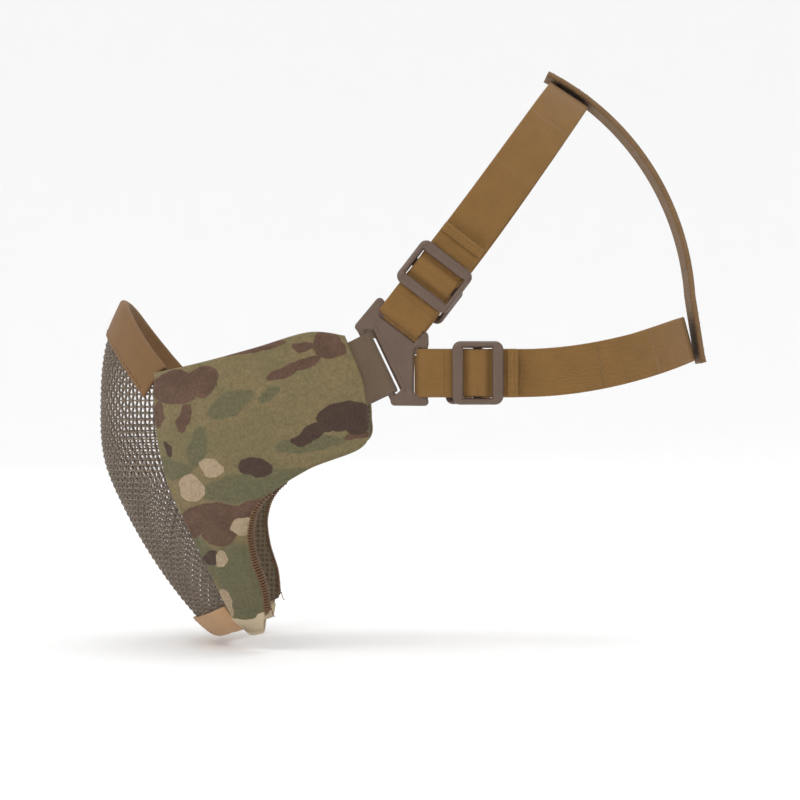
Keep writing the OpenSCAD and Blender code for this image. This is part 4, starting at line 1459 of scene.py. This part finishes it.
class FACEMASK_OT_bands(bpy.types.Operator):
    """Stretch the elastic bands from the straps round to the back of the head"""

    bl_idname = "facemask.bands"
    bl_label = "Elastic Bands"

    def execute(self, context):
        sizes, colours = settings()
        finish = elastic(colours, sizes)
        for level, middle in (("upper", "crown"), ("lower", "nape")):
            path, across = band_path(level)
            path, across = respaced(path, 1.6, across)
            free = int(np.sum(path[:, 0] > SECTION_HALF)) + 1
            rings, uv = band_rings(path, across, STRAP_W, STRAP_T, start=STRAP_LENGTH[level])
            thirds = [round(k * (free - 1) / 3) for k in range(4)]
            for name, side in SIDES:
                node = f"{name}_{level}_band"
                for k in range(3):
                    rows = slice(thirds[k], thirds[k + 1] + 1)
                    led, led_uv = led_in(rings[rows], uv[rows])
                    made = piece(f"{node}_{k + 1}", *loft(led), finish, led_uv,
                                 replaces=[node] if k == 1 else (), slot="elastic", side=side)
                    ends = [tuple(path[i] * np.array((side, 1, 1)) * MM)
                            for i in (thirds[k], thirds[k + 1])]
                    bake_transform(made)
            half, wide = path[free - 1:], across[free - 1:]
            flip = np.array((-1, 1, 1))
            whole = np.vstack([half, half[-2::-1] * flip])
            across = np.vstack([wide, wide[-2::-1] * flip])
            rings, uv = led_in(*band_rings(whole, across, STRAP_W, STRAP_T))
            rings, uv = led_in(rings[::-1], uv[::-1])
            points, faces = loft(rings[::-1])
            piece(f"{middle}_elastic", points, faces, finish, uv[::-1], "harness",
                  [f"{middle}_section"], "elastic")
        return {"FINISHED"}


class FACEMASK_OT_back_strap(bpy.types.Operator):
    """Lay the thick webbing down the back of the head and sew it to the elastic"""

    bl_idname = "facemask.back_strap"
    bl_label = "Back Strap"

    def execute(self, context):
        sizes, colours = settings()
        finish = woven("back_webbing", colours.back, 1.5, 0.88, 0.36, 0.25, sheen=0.04)
        lift = STRAP_T / 2 + 2 * GAP + STRAP_W**2 / (8 * HEAD_DEEP) + BACK_T / 2
        turn = np.linspace(CROWN_ANGLE + CROWN_TAIL, 4, 110)
        lean = unit(np.stack([np.cos(np.radians(turn)) / HEAD_DEEP,
                              np.sin(np.radians(turn)) / HEAD_TALL], 1))
        arc = on_head(turn) + lift * lean
        down = np.array((math.sin(NAPE_LEAN), -math.cos(NAPE_LEAN)))
        out = np.array((math.cos(NAPE_LEAN), math.sin(NAPE_LEAN)))
        foot_at = NAPE + BACK_FOOT * down + lift * out
        line = np.vstack([arc, foot_at + down * -2.5, foot_at])
        path = np.column_stack([0 * line[:, 0], line])
        path = respaced(path, 1.2)
        points, faces, uv = ribbon(path, -spread(SIDEWAYS, path), BACK_HIGH[0] - BACK_LOW[0],
                                   BACK_T, crown=0.25, columns=18)
        piece("back_strap_webbing", points, faces, finish, uv, "harness", ["back_strap"],
              "back_webbing")
        total = lengths(path)[-1]
        x = np.linspace(-10.5, 10.5, 40)
        parts = Parts()
        for far in (2.2, 6.5, 14.5, 18.5, total - 20.5, total - 16.5, total - 5.5, total - 2.2):
            before, point, after = along(path, [max(far - 1, 0), far, min(far + 1, total)])
            normal = unit(np.cross(SIDEWAYS, after - before))
            row = point + normal * (BACK_T / 2 + 0.27) + x[:, None] * np.array(SIDEWAYS)
            parts.join(stitches(row, spread(normal, row), 2.4, 0.8,
                                sizes["thread_width"] * 0.5))
        parts.make("back_strap_stitches", thread("back_thread", shade(colours.back, 0.6)),
                   body="harness", slot="back_webbing")
        return {"FINISHED"}


# ---- Stage ----
CAMERA_AT = (1.2, -0.0125, -0.02083)
CAMERA_LENS = 129.6
# Each soft light: its place in metres, width and power.
LIGHTS = (("key", (1.3, -0.9, 1.35), 1.1, 8), ("fill", (1.7, 1.0, 0.35), 1.4, 1),
          ("top", (-0.3, 0.2, 1.6), 1.3, 5), ("front", (0.2, -1.9, 0.3), 1.2, 1.5),
          ("far_side", (-1.6, -0.4, 0.6), 1.2, 2))
# Floor in metres: its drop below the mask, flat radius, bend and full height.
FLOOR_DROP = 0.004
FLOOR_RADIUS = 1.5
FLOOR_BEND = 2.5
FLOOR_HEIGHT = 3.4


class FACEMASK_OT_stage(bpy.types.Operator):
    """Set the pale floor, the soft lights and the camera"""

    bl_idname = "facemask.stage"
    bl_label = "Stage"

    def execute(self, context):
        scene = bpy.context.scene
        self.floor()
        for light in LIGHTS:
            self.light(*light)
        scene.world = bpy.data.worlds.new("studio")
        scene.world.use_nodes = True
        sky = scene.world.node_tree.nodes["Background"].inputs
        sky["Color"].default_value = (1, 1, 1, 1)
        sky["Strength"].default_value = 0.97
        scene.view_settings.view_transform = "Standard"
        camera = bpy.data.cameras.new("camera")
        camera.sensor_width = 36
        camera.lens = CAMERA_LENS
        holder = bpy.data.objects.new("camera", camera)
        holder.location = CAMERA_AT
        holder.rotation_euler = (math.radians(90), 0, math.radians(90))
        scene.collection.objects.link(holder)
        scene.camera = holder
        return {"FINISHED"}

    def floor(self):
        """A round floor that sweeps up into a plain wall."""
        turn = np.radians(np.linspace(0, 90, 31))
        bend = np.stack([FLOOR_RADIUS + FLOOR_BEND * np.sin(turn),
                         FLOOR_BEND * (1 - np.cos(turn))], 1)
        profile = np.vstack([[(0.01, 0), (1.2, 0)], bend,
                             [(FLOOR_RADIUS + FLOOR_BEND, FLOOR_HEIGHT)]])
        spin = np.radians(np.arange(0, 360, 3.75))
        rings = np.stack([profile[:, :1] * np.cos(spin), profile[:, :1] * np.sin(spin),
                          profile[:, 1:] + CAD_LOW[2] - FLOOR_DROP + 0 * spin], -1)
        faces = grid_faces(*rings.shape[:2], around=True)
        faces.append(tuple(range(rings.shape[1])))
        finish = Finish("studio_floor", 0.9, specular=0.1)
        finish.shader.inputs["Base Color"].default_value = (0.96, 0.96, 0.96, 1)
        piece("floor", rings / MM, faces, finish.material)

    def light(self, name, place, across, power):
        """A round soft light that faces the middle."""
        lamp = bpy.data.lights.new(name, "AREA")
        lamp.shape = "DISK"
        lamp.size = across
        lamp.energy = power
        holder = bpy.data.objects.new(name, lamp)
        holder.location = place
        holder.rotation_euler = (-Vector(place)).to_track_quat("-Z", "Y").to_euler()
        bpy.context.scene.collection.objects.link(holder)


STEPS = (FACEMASK_OT_stage, FACEMASK_OT_wire_front, FACEMASK_OT_tapes, FACEMASK_OT_cheek_panels,
         FACEMASK_OT_panel_edges, FACEMASK_OT_anchors, FACEMASK_OT_buckles, FACEMASK_OT_sliders,
         FACEMASK_OT_strap_ends, FACEMASK_OT_bands, FACEMASK_OT_back_strap)


class FACEMASK_PT_pieces(bpy.types.Panel):
    """The mask's pieces, sizes and colours"""

    bl_idname = "FACEMASK_PT_pieces"
    bl_label = "Half-Face Mask"
    bl_space_type = "VIEW_3D"
    bl_region_type = "UI"
    bl_category = "Face Mask"

    def draw(self, context):
        for step in STEPS:
            self.layout.operator(step.bl_idname)
        for group in (context.scene.mask_sizes, context.scene.mask_colours):
            box = self.layout.box()
            for key in type(group).__annotations__:
                box.prop(group, key)


CLASSES = (MaskSizes, MaskColours, *STEPS, FACEMASK_PT_pieces)


def register():
    """Adds the operators, the panel and the settings."""
    for kind in CLASSES:
        bpy.utils.register_class(kind)
    bpy.types.Scene.mask_sizes = bpy.props.PointerProperty(type=MaskSizes)
    bpy.types.Scene.mask_colours = bpy.props.PointerProperty(type=MaskColours)


def unregister():
    """Takes them away again."""
    del bpy.types.Scene.mask_colours
    del bpy.types.Scene.mask_sizes
    for kind in reversed(CLASSES):
        bpy.utils.unregister_class(kind)


def main():
    """Builds the whole mask."""
    register()
    for step in STEPS:
        group, name = step.bl_idname.split(".")
        getattr(getattr(bpy.ops, group), name)()


if __name__ == "__main__":
    main()
